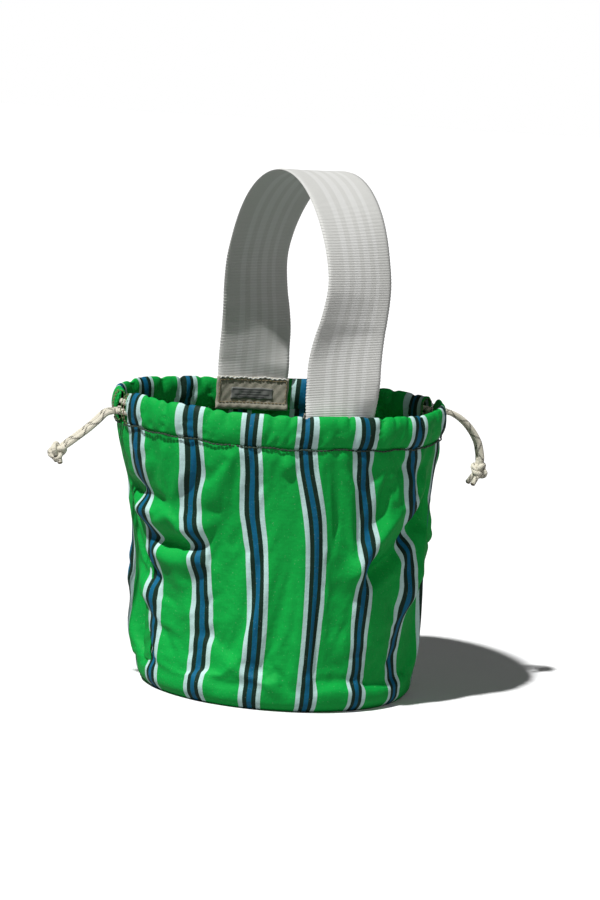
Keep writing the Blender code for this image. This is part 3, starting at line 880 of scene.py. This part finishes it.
class BAG_OT_make_handle(bpy.types.Operator):
    """Make the ribbed webbing handle as one strip with both sewn ends"""
    bl_idname = "bag.make_handle"
    bl_label = "Webbing Handle"

    def execute(self, context):
        size = sizes()
        width, rib = size.webbing_width, size.webbing_rib
        route, length = smooth_route(handle_route(), rib / 3)
        tangents = np.gradient(route, axis=0)
        tangents /= np.linalg.norm(tangents, axis=1, keepdims=True)
        along = np.linspace(0, length, len(route))
        columns = 23
        share = np.linspace(-1, 1, columns)
        phase = 2 * pi * along / rib
        rows = []
        for (y, z), (ty, tz), wave in zip(route, tangents, phase):
            lifted = smooth_share(z, HANDLE_STRAIGHT_Z, HANDLE_TURNED_Z)
            in_leg = 1 - smooth_share(z, HANDLE_TURNED_Z, ARCH_TOP)
            turn = HANDLE_TURN * lifted
            foot = smooth_share(z, RIM_Z - 0.004, RIM_Z + 0.012)
            foot *= 1 - smooth_share(z, RIM_Z + 0.020, HANDLE_WIDE_Z)
            twist = turn + LEG_TWIST * in_leg * lifted - FOOT_TWIST * foot
            leaned = y - HANDLE_LEAN * lifted
            middle = np.array([HANDLE_X - leaned * sin(turn), leaned * cos(turn), z])
            across = np.array([cos(twist), sin(twist), 0.0])
            forward = np.array([-ty * sin(turn), ty * cos(turn), tz])
            outward = np.cross(across, forward)
            outward /= np.linalg.norm(outward)
            half = width / 2 * (1 + 0.006 * sin(wave / 2))
            top, under = [], []
            hold = (1 - smooth_share(z, RIM_Z - 0.002, RIM_Z + 0.026)) * (1 if y > 0 else -1)
            for place in share:
                edge = max(0.0, abs(place) - 0.90) / 0.10
                body = WEBBING_THICK / 2 * sqrt(max(0.06, 1 - edge ** 2))
                ripple = 0.00009 * sin(wave) * (1 - edge)
                curl = 0.0006 * place ** 2 * sin(along[len(rows)] * 40)
                centre = middle + across * half * place + outward * curl
                centre[1] += hold * (inner_wall(centre[0], 0, 1) - inner_wall(HANDLE_X, 0, 1))
                top.append(centre + outward * (body + ripple))
                under.append(centre - outward * (body - ripple))
            rows.append(top + under[::-1])
        points = np.array(rows)
        flat_u = np.concatenate([(share + 1) / 2 * width, (share[::-1] + 1) / 2 * width])
        flat = np.stack([flat_u[None, :] + 0 * along[:, None], along[:, None] + 0 * flat_u[None, :]], -1)
        strip = grid_object("webbing_strip", points, "strip", flat, finish("webbing"), close_rows=True)
        self.close_ends(strip, points.shape)
        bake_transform(strip)
        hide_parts("handle_webbing", "front_handle_end", "back_handle_end")
        return {"FINISHED"}

    def close_ends(self, strip, shape):
        """Cap both cut ends and point the faces outwards."""
        rows, columns = shape[:2]
        bm = bmesh.new()
        bm.from_mesh(strip.data)
        bm.verts.ensure_lookup_table()
        for row in (0, rows - 1):
            ring = [bm.verts[row * columns + i] for i in range(columns)]
            bm.faces.new(ring)
        bmesh.ops.recalc_face_normals(bm, faces=bm.faces[:])
        bm.to_mesh(strip.data)
        bm.free()


# ---- patches and label ----
def inner_wall(x, depth, side):
    """Y of a surface that follows the casing's inner face, `depth` inside it."""
    a, b = RIM_A - CASING_THICK - depth, RIM_B - CASING_THICK - depth
    return side * b * np.sqrt(1 - (x / a) ** 2)


def wall_piece(name, low, high, side, depth, thick, material, bulge, columns=56, rows=30, hem=0.0):
    """Sewn piece on the inner wall: rounded edges, slightly uneven outline, optional bottom hem."""
    across = np.linspace(0, 1, columns)[None, :]
    up = np.linspace(0, 1, rows)[:, None]
    x = low.x + (high.x - low.x) * across + 0.0004 * np.sin(up * 9 + 1) * (across - 0.5)
    z = low.z + (high.z - low.z) * up + 0.0005 * np.sin(across * 11) * (up - 0.5)
    edge = np.minimum(np.minimum(across, 1 - across) * (high.x - low.x),
                      np.minimum(up, 1 - up) * (high.z - low.z))
    soft = np.clip(edge / 0.0012, 0, 1)
    lift = thick * np.sqrt(1 - (1 - soft) ** 2)
    lift += bulge * np.sin(pi * across) * np.sin(pi * up) + 0.00025 * np.sin(x * 900) * np.sin(z * 700)
    if hem:
        lift += 0.0009 * np.exp(-(((z - low.z) - hem / 2) / (hem / 2.2)) ** 4)
    y = inner_wall(x, depth, side) - side * lift
    points = np.stack([x, y, z], -1)
    flat = np.stack([x, z], -1)
    made = grid_object(name, points, "cloth", flat, material, flip=side < 0)
    add_wall(made, 0.0006, offset=-1.0)
    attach(made, "bag")
    return made


class BAG_OT_make_anchors(bpy.types.Operator):
    """Make the two twill anchor patches and the printed label"""
    bl_idname = "bag.make_anchors"
    bl_label = "Anchor Patches"

    def execute(self, context):
        label = wall_piece("label_tape", LABEL_LOW, LABEL_HIGH, 1, PATCH_DEPTH + 0.0014, 0.0003,
                           finish("label"), 0.0, columns=40, rows=14)
        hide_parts("back_label")
        for word, side in (("front", -1), ("back", 1)):
            patch = wall_piece(f"{word}_patch_cloth", PATCH_LOW, PATCH_HIGH, side, PATCH_DEPTH, PATCH_THICK,
                               finish("twill"), 0.0004, hem=0.0045)
            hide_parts(f"{word}_anchor_patch")
        return {"FINISHED"}


# ---- stitches ----
def stitch_tree():
    """Stitches laid along a line: every stitch is a rounded thread from one needle hole to the next."""
    if "Stitches" in bpy.data.node_groups:
        return bpy.data.node_groups["Stitches"]
    tree = bpy.data.node_groups.new("Stitches", "GeometryNodeTree")
    for label, kind, value in (
            ("Line", "Geometry", None), ("Pitch", "Float", 0.0026), ("Zigzag", "Float", 0.0),
            ("Fill", "Float", 0.82), ("Radius", "Float", 0.00032), ("Uneven", "Float", 0.2),
            ("Seed", "Int", 0), ("Thread", "Material", None)):
        socket = tree.interface.new_socket(label, in_out="INPUT", socket_type=f"NodeSocket{kind}")
        if value is not None:
            socket.default_value = value
    tree.interface.new_socket("Stitches", in_out="OUTPUT", socket_type="NodeSocketGeometry")

    def node(kind, inputs=(), **settings):
        made = tree.nodes.new(kind)
        for name, value in settings.items():
            setattr(made, name, value)
        for key, value in inputs:
            if isinstance(value, bpy.types.NodeSocket):
                tree.links.new(value, made.inputs[key])
            else:
                made.inputs[key].default_value = value
        return made

    def maths(operation, *values):
        return node("ShaderNodeMath", enumerate(values), operation=operation).outputs[0]

    def vectors(operation, *values):
        return node("ShaderNodeVectorMath", enumerate(values), operation=operation).outputs[0]

    def scaled(vector, factor):
        return node("ShaderNodeVectorMath", [(0, vector), ("Scale", factor)], operation="SCALE").outputs[0]

    given = node("NodeGroupInput").outputs
    side = node("GeometryNodeInputNamedAttribute", [("Name", "side")], data_type="FLOAT_VECTOR").outputs[0]
    curve = node("GeometryNodeMeshToCurve", [("Mesh", given["Line"])]).outputs[0]
    holes = node("GeometryNodeResampleCurve", [("Curve", curve), ("Length", given["Pitch"])], mode="LENGTH")
    number = node("GeometryNodeInputIndex").outputs[0]
    swing = maths("SUBTRACT", maths("MODULO", number, 2.0), 0.5)
    shift = scaled(side, maths("MULTIPLY", swing, given["Zigzag"]))
    jitter = maths("MULTIPLY", given["Pitch"], given["Uneven"])
    high = node("ShaderNodeCombineXYZ", [(0, jitter), (1, jitter), (2, jitter)]).outputs[0]
    low = scaled(high, -1.0)
    random = node("FunctionNodeRandomValue", [("Min", low), ("Max", high), ("Seed", given["Seed"])],
                  data_type="FLOAT_VECTOR").outputs[0]
    along = node("ShaderNodeVectorMath", [(0, random), (1, side)], operation="DOT_PRODUCT").outputs["Value"]
    offset = vectors("ADD", shift, scaled(side, along))
    moved = node("GeometryNodeSetPosition", [("Geometry", holes.outputs[0]), ("Offset", offset)]).outputs[0]
    edges = node("GeometryNodeCurveToMesh", [("Curve", moved)]).outputs[0]
    corners = node("GeometryNodeInputMeshEdgeVertices").outputs
    run = vectors("SUBTRACT", corners["Position 2"], corners["Position 1"])
    kept = node("GeometryNodeCaptureAttribute", [("Geometry", edges)], domain="EDGE")
    kept.capture_items.new("VECTOR", "Run")
    tree.links.new(run, kept.inputs["Run"])
    points = node("GeometryNodeMeshToPoints", [("Mesh", kept.outputs["Geometry"])], mode="EDGES").outputs[0]
    long = node("ShaderNodeVectorMath", [(0, kept.outputs["Run"])], operation="LENGTH").outputs["Value"]
    half = maths("MULTIPLY", maths("MULTIPLY", long, given["Fill"]), 0.5)
    size = node("ShaderNodeCombineXYZ", [(0, given["Radius"]), (1, given["Radius"]), (2, half)]).outputs[0]
    turn = node("FunctionNodeAlignRotationToVector", [("Vector", kept.outputs["Run"])], axis="Z").outputs[0]
    ball = node("GeometryNodeMeshUVSphere", [("Segments", 8), ("Rings", 7), ("Radius", 1.0)]).outputs["Mesh"]
    place = node("GeometryNodeInputPosition").outputs[0]
    axis = node("ShaderNodeSeparateXYZ", [(0, place)]).outputs[2]
    blunt = maths("MULTIPLY", maths("SIGN", axis), maths("POWER", maths("ABSOLUTE", axis), 0.6))
    lifted = node("ShaderNodeCombineXYZ", [(2, blunt)]).outputs[0]
    shape = vectors("ADD", vectors("MULTIPLY", place, (1.0, 1.0, 0.0)), lifted)
    capsule = node("GeometryNodeSetPosition", [("Geometry", ball), ("Position", shape)]).outputs[0]
    laid = node("GeometryNodeInstanceOnPoints", [("Points", points), ("Instance", capsule),
                                                 ("Rotation", turn), ("Scale", size)]).outputs[0]
    real = node("GeometryNodeRealizeInstances", [("Geometry", laid)]).outputs[0]
    smooth = node("GeometryNodeSetShadeSmooth", [("Geometry", real)]).outputs[0]
    dyed = node("GeometryNodeSetMaterial", [("Geometry", smooth), ("Material", given["Thread"])]).outputs[0]
    node("NodeGroupOutput", [("Stitches", dyed)])
    return tree


def stitches(name, points, sides, thread, closed=False, **values):
    """A plain mesh of stitches along the points; `sides` are the ways in which the line may zigzag."""
    mesh = bpy.data.meshes.new(name)
    edges = [(i, i + 1) for i in range(len(points) - 1)] + ([(len(points) - 1, 0)] if closed else [])
    mesh.from_pydata([tuple(point) for point in points], edges, [])
    side = mesh.attributes.new("side", "FLOAT_VECTOR", "POINT")
    side.data.foreach_set("vector", np.asarray(sides, np.float32).reshape(-1))
    made = bpy.data.objects.new(name, mesh)
    bpy.context.collection.objects.link(made)
    sewn = made.modifiers.new("Stitches", "NODES")
    sewn.node_group = stitch_tree()
    sockets = {item.name: item.identifier for item in sewn.node_group.interface.items_tree
               if item.in_out == "INPUT"}
    values = {"Pitch": sizes().stitch_length, "Seed": sizes().wrinkle_seed, "Thread": finish(thread),
              **values}
    for label, value in values.items():
        sewn[sockets[label]] = value
    return plain_mesh(made)


def ellipse_line(turns, a, b, z):
    """Points on an oval, with directions that point up."""
    points = np.stack([a * np.cos(turns), b * np.sin(turns), z + 0 * turns], -1)
    return points, np.tile((0.0, 0.0, 1.0), (len(turns), 1))


def sewn_piece(item, body, node):
    """Attach a piece to its body, with the node it stands for, if any."""
    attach(item, body)
    if node:
        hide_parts(node)
    return item


class BAG_OT_make_stitching(bpy.types.Operator):
    """Make the seam of the casing, the edges of the slits, the patch stitching and the inner seams"""
    bl_idname = "bag.make_stitching"
    bl_label = "Seams and Stitching"

    def execute(self, context):
        edge = asin(0.004 / SEAM_B)
        for word, start, stop in (("front", -edge, edge - pi), ("back", -pi - edge, edge - 2 * pi)):
            self.casing_seam(word, np.linspace(start, stop, 260))
        for word, side in (("front", -1), ("back", 1)):
            self.patch_stitching(word, side)
            for edge_word, end in (("left", -1), ("right", 1)):
                self.slit_edge(word, side, edge_word, end)
        self.inner_seams()
        return {"FINISHED"}

    def casing_seam(self, word, turns):
        """Dark thread, slightly sunk in the gathered cloth."""
        along = np.interp(-turns, -SEAM_TURNS, SEAM_LENGTHS)
        out, up = rim_wave(along)
        sink = 0.0003 * np.sin(along * 700) + 0.0002 * np.sin(along * 1210 + 1)
        a, b = SEAM_A + 0.0009 + out + sink, SEAM_B + 0.0009 + out + sink
        points, sides = ellipse_line(turns, a, b, 0)
        points[:, 2] = SEAM_Z - 0.0007 + up + 0.0004 * np.sin(along * 260) + 0.0002 * np.sin(along * 900)
        seam = stitches(f"{word}_casing_thread", points, sides, "seam_thread", Pitch=0.0027, Fill=0.94,
                        Radius=0.00060, Uneven=0.10)
        sewn_piece(seam, "bag", f"{word}_casing_stitching")

    def patch_stitching(self, word, side):
        """Tan box stitching with a white wavy line along the top edge."""
        depth = PATCH_DEPTH + 0.0013
        low, high = PATCH_LOW.z + 0.0052, PATCH_HIGH.z - 0.0022
        left, right = PATCH_LOW.x + 0.002, PATCH_HIGH.x - 0.002
        across = np.linspace(left, right, 60)
        up = np.linspace(low, high, 24)
        x = np.concatenate([across, np.full(24, right), across[::-1], np.full(24, left)])
        z = np.concatenate([np.full(60, low), up, np.full(60, high), up[::-1]])
        points = np.stack([x, inner_wall(x, depth, side), z], -1)
        box = stitches(f"{word}_patch_thread", points, np.tile((0, 0, 1.0), (len(x), 1)), "tan_thread",
                       closed=True, Fill=0.80, Radius=0.00034, Uneven=0.10)
        sewn_piece(box, "bag", f"{word}_anchor_stitching")
        z = PATCH_HIGH.z - 0.0006 + 0.0004 * np.sin(across * 400)
        points = np.stack([across, inner_wall(across, depth, side), z], -1)
        wavy = stitches(f"{word}_patch_top_thread", points, np.tile((0, 0, 1.0), (60, 1)), "white_thread",
                        Pitch=0.0017, Zigzag=0.0013, Fill=1.10, Radius=0.00055)
        sewn_piece(wavy, "bag", None)

    def slit_edge(self, word, side, edge_word, end):
        """Overlocked edge of the open end of the casing."""
        spin = np.linspace(0, 2 * pi, 80, endpoint=False)
        out, up = casing_section(spin)
        inset = 1 - 0.0016 / CASING_HEIGHT
        points = np.stack([end * (CASING_A + out), np.full(80, side * (SLIT_HALF - 0.0004)),
                           RIM_Z - CASING_HEIGHT / 2 + up * inset], -1)
        sides = np.stack([np.zeros(80), np.full(80, float(side)), np.zeros(80)], -1)
        hem = stitches(f"{word}_{edge_word}_slit_overlock", points, sides, "overlock_thread", closed=True,
                       Pitch=0.0011, Zigzag=0.0018, Fill=1.1, Radius=0.00036, Uneven=0.2)
        sewn_piece(hem, "bag", f"{word}_{edge_word}_slit_hem")
        from_slit = asin((SLIT_HALF + 0.0020) / CASING_B)
        turn = side * (from_slit if end > 0 else pi - from_slit)
        out, up = casing_section(np.linspace(-1.35, 1.35, 40))
        line = np.stack([(CASING_A + out + 0.0002) * cos(turn), (CASING_B + out + 0.0002) * sin(turn),
                         RIM_Z - CASING_HEIGHT / 2 + up], -1)
        sides = np.tile((0.0, 1.0, 0.0), (40, 1))
        top = stitches(f"{word}_{edge_word}_slit_topstitch", line, sides, "tan_thread", Pitch=0.0021,
                       Fill=0.70, Radius=0.00036, Uneven=0.10)
        sewn_piece(top, "bag", None)

    def inner_seams(self):
        """Overlocked seam allowances inside: up both sides and round the base."""
        for word, end in (("left", -1), ("right", 1)):
            height = np.linspace(0.0165, SEAM_Z - 0.0015, 90)[:, None]
            share = np.linspace(-1, 1, 9)[None, :]
            middle, a, b = outline_at(height)
            y = 0.006 * share + 0.0006 * np.sin(height * 260)
            depth = PATCH_DEPTH + 0.0004 * np.sin(height * 520 + 2 * share)
            x = middle + end * (a - depth) * np.sqrt(1 - (y / b) ** 2)
            self.allowance(f"{word}_side_seam", np.stack([x, y, height + 0 * y], -1), end)
        turns = np.linspace(0, 2 * pi, 160)[:, None]
        share = np.linspace(-1, 1, 9)[None, :]
        height = 0.0090 + 0.0045 * share + 0.0004 * np.sin(9 * turns)
        middle, a, b = outline_at(height)
        depth = PATCH_DEPTH + 0.0003 * np.sin(31 * turns + 2 * share)
        ring = np.stack([middle + (a - depth) * np.cos(turns), (b - depth) * np.sin(turns), height], -1)
        self.allowance("bottom_seam", ring, 1)

    def allowance(self, node, points, end):
        """One strip of turned cloth with a zigzag of thread along its middle."""
        flat = np.stack(np.meshgrid(np.arange(points.shape[1]) * 0.0015 + 0.0068,
                                    np.arange(points.shape[0]) * 0.0018), -1)
        strip = grid_object(f"{node}_allowance", points, "cloth", flat, finish("cotton"), flip=end > 0)
        add_wall(strip, 0.0008, offset=1.0)
        sewn_piece(plain_mesh(strip), "bag", node)
        row = points[:, 2] * 0.5 + points[:, 1] * 0.5
        inward = np.stack([-points[:, 4, 0], -points[:, 4, 1], 0 * points[:, 4, 2]], -1)
        inward /= np.linalg.norm(inward, axis=1, keepdims=True)
        sides = points[:, -1] - points[:, 0]
        sides /= np.linalg.norm(sides, axis=1, keepdims=True)
        thread = stitches(f"{node}_overlock", row + inward * 0.0011, sides, "overlock_thread", Pitch=0.0018,
                          Zigzag=0.0036, Fill=1.02, Radius=0.00030, Uneven=0.15)
        sewn_piece(thread, "bag", None)


# ---- cords ----
def frames_along(points):
    """Unit tangents and two turning-free side directions along a path."""
    tangents = np.gradient(points, axis=0)
    tangents /= np.linalg.norm(tangents, axis=1, keepdims=True)
    side = np.cross(tangents[0], (0.0, 0.0, 1.0))
    if np.linalg.norm(side) < 0.1:
        side = np.cross(tangents[0], (0.0, 1.0, 0.0))
    sides = []
    for tangent in tangents:
        side = side - tangent * np.dot(side, tangent)
        side /= np.linalg.norm(side)
        sides.append(side)
    sides = np.array(sides)
    return tangents, sides, np.cross(tangents, sides)


def braid(name, points, radius=CORD_R, columns=32):
    """Round braided cord round a path: the yarns stand out of the mesh itself."""
    path, length = smooth_route(points, BRAID_STEP)
    _, first, second = frames_along(path)
    turns = np.linspace(0, 2 * pi, columns, endpoint=False)[None, :]
    along = np.linspace(0, length, len(path))[:, None]
    lead = 2 * pi * along / BRAID_LAY
    over = np.sin(BRAID_YARNS / 2 * (turns + lead)) * np.sin(BRAID_YARNS / 2 * (turns - lead))
    thick = radius * (0.96 + 0.075 * over)
    ring = first[:, None, :] * np.cos(turns)[..., None] + second[:, None, :] * np.sin(turns)[..., None]
    points = path[:, None, :] + ring * thick[..., None]
    flat = np.stack([turns / (2 * pi) + 0 * along, along + 0 * turns], -1)
    tube = grid_object(name, points, "braid", flat, finish("cord"), close_rows=True, wrap=(1.0, 0.0))
    cap_tube(tube, len(path), columns)
    return tube, path, length


def cap_tube(tube, rows, columns):
    """Close both ends of a tube with a small dome."""
    bm = bmesh.new()
    bm.from_mesh(tube.data)
    verts = list(bm.verts)
    rings = [verts[row * columns:(row + 1) * columns] for row in (0, 1, rows - 2, rows - 1)]
    for edge, neighbour in ((rings[0], rings[1]), (rings[3], rings[2])):
        centre = sum((vert.co for vert in edge), Vector()) / columns
        behind = sum((vert.co for vert in neighbour), Vector()) / columns
        outward = (centre - behind).normalized()
        inner = edge
        for share, lift in ((0.82, 0.0005), (0.45, 0.0009)):
            fresh = [bm.verts.new(centre + (vert.co - centre) * share + outward * lift) for vert in edge]
            for i in range(columns):
                bm.faces.new((inner[i], inner[(i + 1) % columns], fresh[(i + 1) % columns], fresh[i]))
            inner = fresh
        bm.faces.new(inner)
    bmesh.ops.recalc_face_normals(bm, faces=bm.faces[:])
    for face in bm.faces:
        face.smooth = True
    bm.to_mesh(tube.data)
    bm.free()


def overhand(centre, axis, up, size):
    """Middle line of one cord in a tight overhand knot lying along `axis`."""
    t = np.linspace(-0.10, 2 * pi + 0.10, 60)
    x = np.sin(t) + 2 * np.sin(2 * t)
    y = np.cos(t) - 2 * np.cos(2 * t)
    z = -np.sin(3 * t)
    side = np.cross(axis, up)
    local = np.stack([x, y, z], -1) / 3.0
    return centre + size * (local[:, :1] * axis + local[:, 1:2] * up + 1.35 * local[:, 2:3] * side)


class BAG_OT_make_cords(bpy.types.Operator):
    """Make both drawcords: the loops in the casing, the free strands, and the knots"""
    bl_idname = "bag.make_cords"
    bl_label = "Drawcords"

    def execute(self, context):
        for word, end, route, knot, height in (("left", -1, LEFT_ROUTE, LEFT_KNOT, -CORD_STEP),
                                               ("right", 1, RIGHT_ROUTE, RIGHT_KNOT, CORD_STEP)):
            self.loop(word, end, height)
            pieces = self.knot(word, end, route, knot)
            self.strands(word, end, route, knot, pieces)
        return {"FINISHED"}

    def loop(self, word, end, height):
        """The cord through the casing, from the slit round the whole rim and back to the same slit."""
        edge = asin(0.0125 / CASING_B)
        ring = np.linspace(edge, 2 * pi - edge, 80)
        turn = ring if end > 0 else pi - ring
        along = np.interp(np.mod(-turn, 2 * pi), -SEAM_TURNS, SEAM_LENGTHS)
        fade = smooth_share(np.minimum(ring, 2 * pi - ring), edge, edge + 0.12)
        wave_out, wave_up = (part * fade for part in rim_wave(along))
        middle = RIM_Z - CASING_HEIGHT / 2 + height
        a = CASING_A
        turn_out = ((a + 0.0061, CORD_SIDE), (a + 0.0028, 0.0035), (a + 0.0006, 0.0058), (a, 0.0090))
        points = [(end * x, y, middle) for x, y in turn_out]
        points += zip(end * (a + wave_out) * np.cos(ring), (CASING_B + wave_out) * np.sin(ring),
                      middle + wave_up)
        points += [(end * x, -y, middle) for x, y in turn_out[::-1]]
        tube, _, _ = braid(f"{word}_loop_cord", points, columns=20)
        sewn_piece(tube, "bag", f"{word}_drawcord")

    def strands(self, word, end, route, knot, pieces):
        """The two free strands, from the slit to the knot."""
        for letter, side in (("a", -1), ("b", 1)):
            points = [(end * x, side * CORD_SIDE, z) for x, z in route]
            points.append((end * (0.4 * route[-1][0] + 0.6 * knot[0]), side * 0.0018,
                           0.4 * route[-1][1] + 0.6 * knot[1]))
            tube, path, length = braid(f"{word}_cord_{letter}", points)
            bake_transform(tube)
            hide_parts(f"{word}_strand_{letter}")

    def knot(self, word, end, route, knot):
        """Both cords tied together in one overhand knot, with two short melted tails."""
        centre = np.array((end * knot[0], 0.0, knot[1]))
        down = np.array((end * (knot[0] - route[-1][0]), 0.0, knot[1] - route[-1][1]))
        down /= np.linalg.norm(down)
        front = np.array((0.0, 1.0, 0.0))
        up = np.cross(down, front)
        made = []
        for letter, side, spin in (("a", -1, 0.0), ("b", 1, 0.5)):
            turned = np.array(Matrix.Rotation(spin, 3, Vector(front)) @ Vector(up))
            line = overhand(centre + front * side * 0.0016, np.cross(front, turned), turned, 0.0044)
            tube, _, _ = braid(f"{word}_knot_{letter}", line, radius=0.0019, columns=24)
            sewn_piece(tube, f"{word}_pull", f"{word}_knot" if letter == "a" else None)
            made.append(tube)
        for letter, side in (("a", -1), ("b", 1)):
            start = centre + front * side * 0.0016
            tip = centre + down * 0.0060 + front * side * 0.0042 + np.array((end * -0.0060, 0, -0.0032))
            halfway = (start + tip) / 2 + front * side * 0.0005
            tube, _, _ = braid(f"{word}_tail_{letter}", [start, halfway, tip], radius=0.0018, columns=24)
            sewn_piece(tube, f"{word}_pull", None)
            made.append(tube)
            tips = self.melted(f"{word}_tip_{letter}", tip, tip - start)
            sewn_piece(tips, f"{word}_pull", None)
            made.append(tips)
        return made

    def melted(self, name, tip, along):
        """Lumpy bead where the cord's end was melted."""
        bm = bmesh.new()
        bmesh.ops.create_icosphere(bm, subdivisions=4, radius=0.0017)
        for vert in bm.verts:
            place = vert.co * 1400
            vert.co *= 1 + 0.07 * sin(place.x * 2 + 1) * sin(place.y * 2.3) + 0.05 * sin(place.z * 3.1)
            vert.co.z *= 0.62
        turn = Vector(along).to_track_quat("Z", "Y").to_matrix().to_4x4()
        bmesh.ops.transform(bm, matrix=Matrix.Translation(Vector(tip)) @ turn, verts=bm.verts)
        mesh = bpy.data.meshes.new(name)
        bm.to_mesh(mesh)
        bm.free()
        mesh.shade_smooth()
        mesh.materials.append(finish("melted"))
        made = bpy.data.objects.new(name, mesh)
        bpy.context.collection.objects.link(made)
        return made


# ---- stage ----
LENS = 144.0                                       # mm
CAMERA_PLACE, CAMERA_AIM = (-0.8925, -2.2279, 0.5250), (0.01439, -0.00576, 0.1625)
CAMERA_ROLL = radians(4.70)
LIGHTS_TURN = radians(-21.83)                      # the lights are placed in the camera's heading
# name, strength, angle of its disc in degrees, and the way its light travels: right, away and up
LIGHTS = (("key", 4.75, 2.0, (0.42, 0.44, -1.0)), ("fill", 0.60, 60.0, (-0.5, 0.9, -0.35)))
SURROUND_GLOW = 0.04                               # strength of the surround on everything but the camera
FLOOR_HALF = 6.0


class BAG_OT_make_stage(bpy.types.Operator):
    """Make the camera, the lights and the pale floor"""
    bl_idname = "bag.make_stage"
    bl_label = "Studio Stage"

    def execute(self, context):
        scene = context.scene
        lens = bpy.data.cameras.new("view")
        lens.lens = LENS
        camera = bpy.data.objects.new("view", lens)
        scene.collection.objects.link(camera)
        camera.location = CAMERA_PLACE
        look = (Vector(CAMERA_AIM) - camera.location).to_track_quat("-Z", "Y").to_matrix()
        camera.rotation_euler = (look @ Matrix.Rotation(CAMERA_ROLL, 3, "Z")).to_euler()
        scene.camera = camera
        self.lights(scene)
        mesh = bpy.data.meshes.new("pale_floor")
        corners = [(x * FLOOR_HALF, y * FLOOR_HALF, 0) for x, y in ((-1, -1), (1, -1), (1, 1), (-1, 1))]
        mesh.from_pydata(corners, [], [(0, 1, 2, 3)])
        mesh.materials.append(finish("floor"))
        floor = bpy.data.objects.new("pale_floor", mesh)
        scene.collection.objects.link(floor)
        scene.view_settings.view_transform = "Standard"
        return {"FINISHED"}

    def lights(self, scene):
        """One fairly hard key from the front left, a weak fill, and a white surround."""
        turn = Matrix.Rotation(LIGHTS_TURN, 3, "Z")
        for name, energy, angle, travel in LIGHTS:
            data = bpy.data.lights.new(name, "SUN")
            data.energy, data.angle = energy, radians(angle)
            lamp = bpy.data.objects.new(name, data)
            lamp.rotation_euler = (turn @ Vector(travel)).to_track_quat("-Z", "Y").to_euler()
            scene.collection.objects.link(lamp)
        world = bpy.data.worlds.new("studio")
        world.use_nodes = True
        tree = Tree(world.node_tree)
        ground = world.node_tree.nodes["Background"]
        ray = tree.add("ShaderNodeLightPath").outputs["Is Camera Ray"]
        tree.feed(ground.inputs["Color"], (1.0, 1.0, 1.0, 1.0))
        tree.feed(ground.inputs["Strength"], tree.math("MULTIPLY_ADD", ray, 1 - SURROUND_GLOW, SURROUND_GLOW))
        scene.world = world


# ---- add-on ----
STEPS = (BAG_OT_make_stage, BAG_OT_make_cords, BAG_OT_make_body, BAG_OT_make_casing, BAG_OT_make_handle,
         BAG_OT_make_anchors, BAG_OT_make_stitching)


class BAG_PT_build(bpy.types.Panel):
    """Sidebar panel with the sizes, the colours and one button for each group of pieces"""
    bl_idname = "BAG_PT_build"
    bl_label = "Picking Bag"
    bl_space_type = "VIEW_3D"
    bl_region_type = "UI"
    bl_category = "Picking Bag"

    def draw(self, context):
        for owner, kind in ((context.scene.bag_sizes, BagSizes), (context.scene.bag_colours, BagColours)):
            box = self.layout.column(align=True)
            for name in kind.__annotations__:
                box.prop(owner, name)
        for step in STEPS:
            self.layout.operator(step.bl_idname)


CLASSES = (BagSizes, BagColours, *STEPS, BAG_PT_build)


def register():
    for kind in CLASSES:
        bpy.utils.register_class(kind)
    bpy.types.Scene.bag_sizes = PointerProperty(type=BagSizes)
    bpy.types.Scene.bag_colours = PointerProperty(type=BagColours)


def unregister():
    del bpy.types.Scene.bag_colours
    del bpy.types.Scene.bag_sizes
    for kind in reversed(CLASSES):
        bpy.utils.unregister_class(kind)


def main():
    register()
    for step in STEPS:
        getattr(bpy.ops.bag, step.bl_idname.split(".")[1])()


if __name__ == "__main__":
    main()
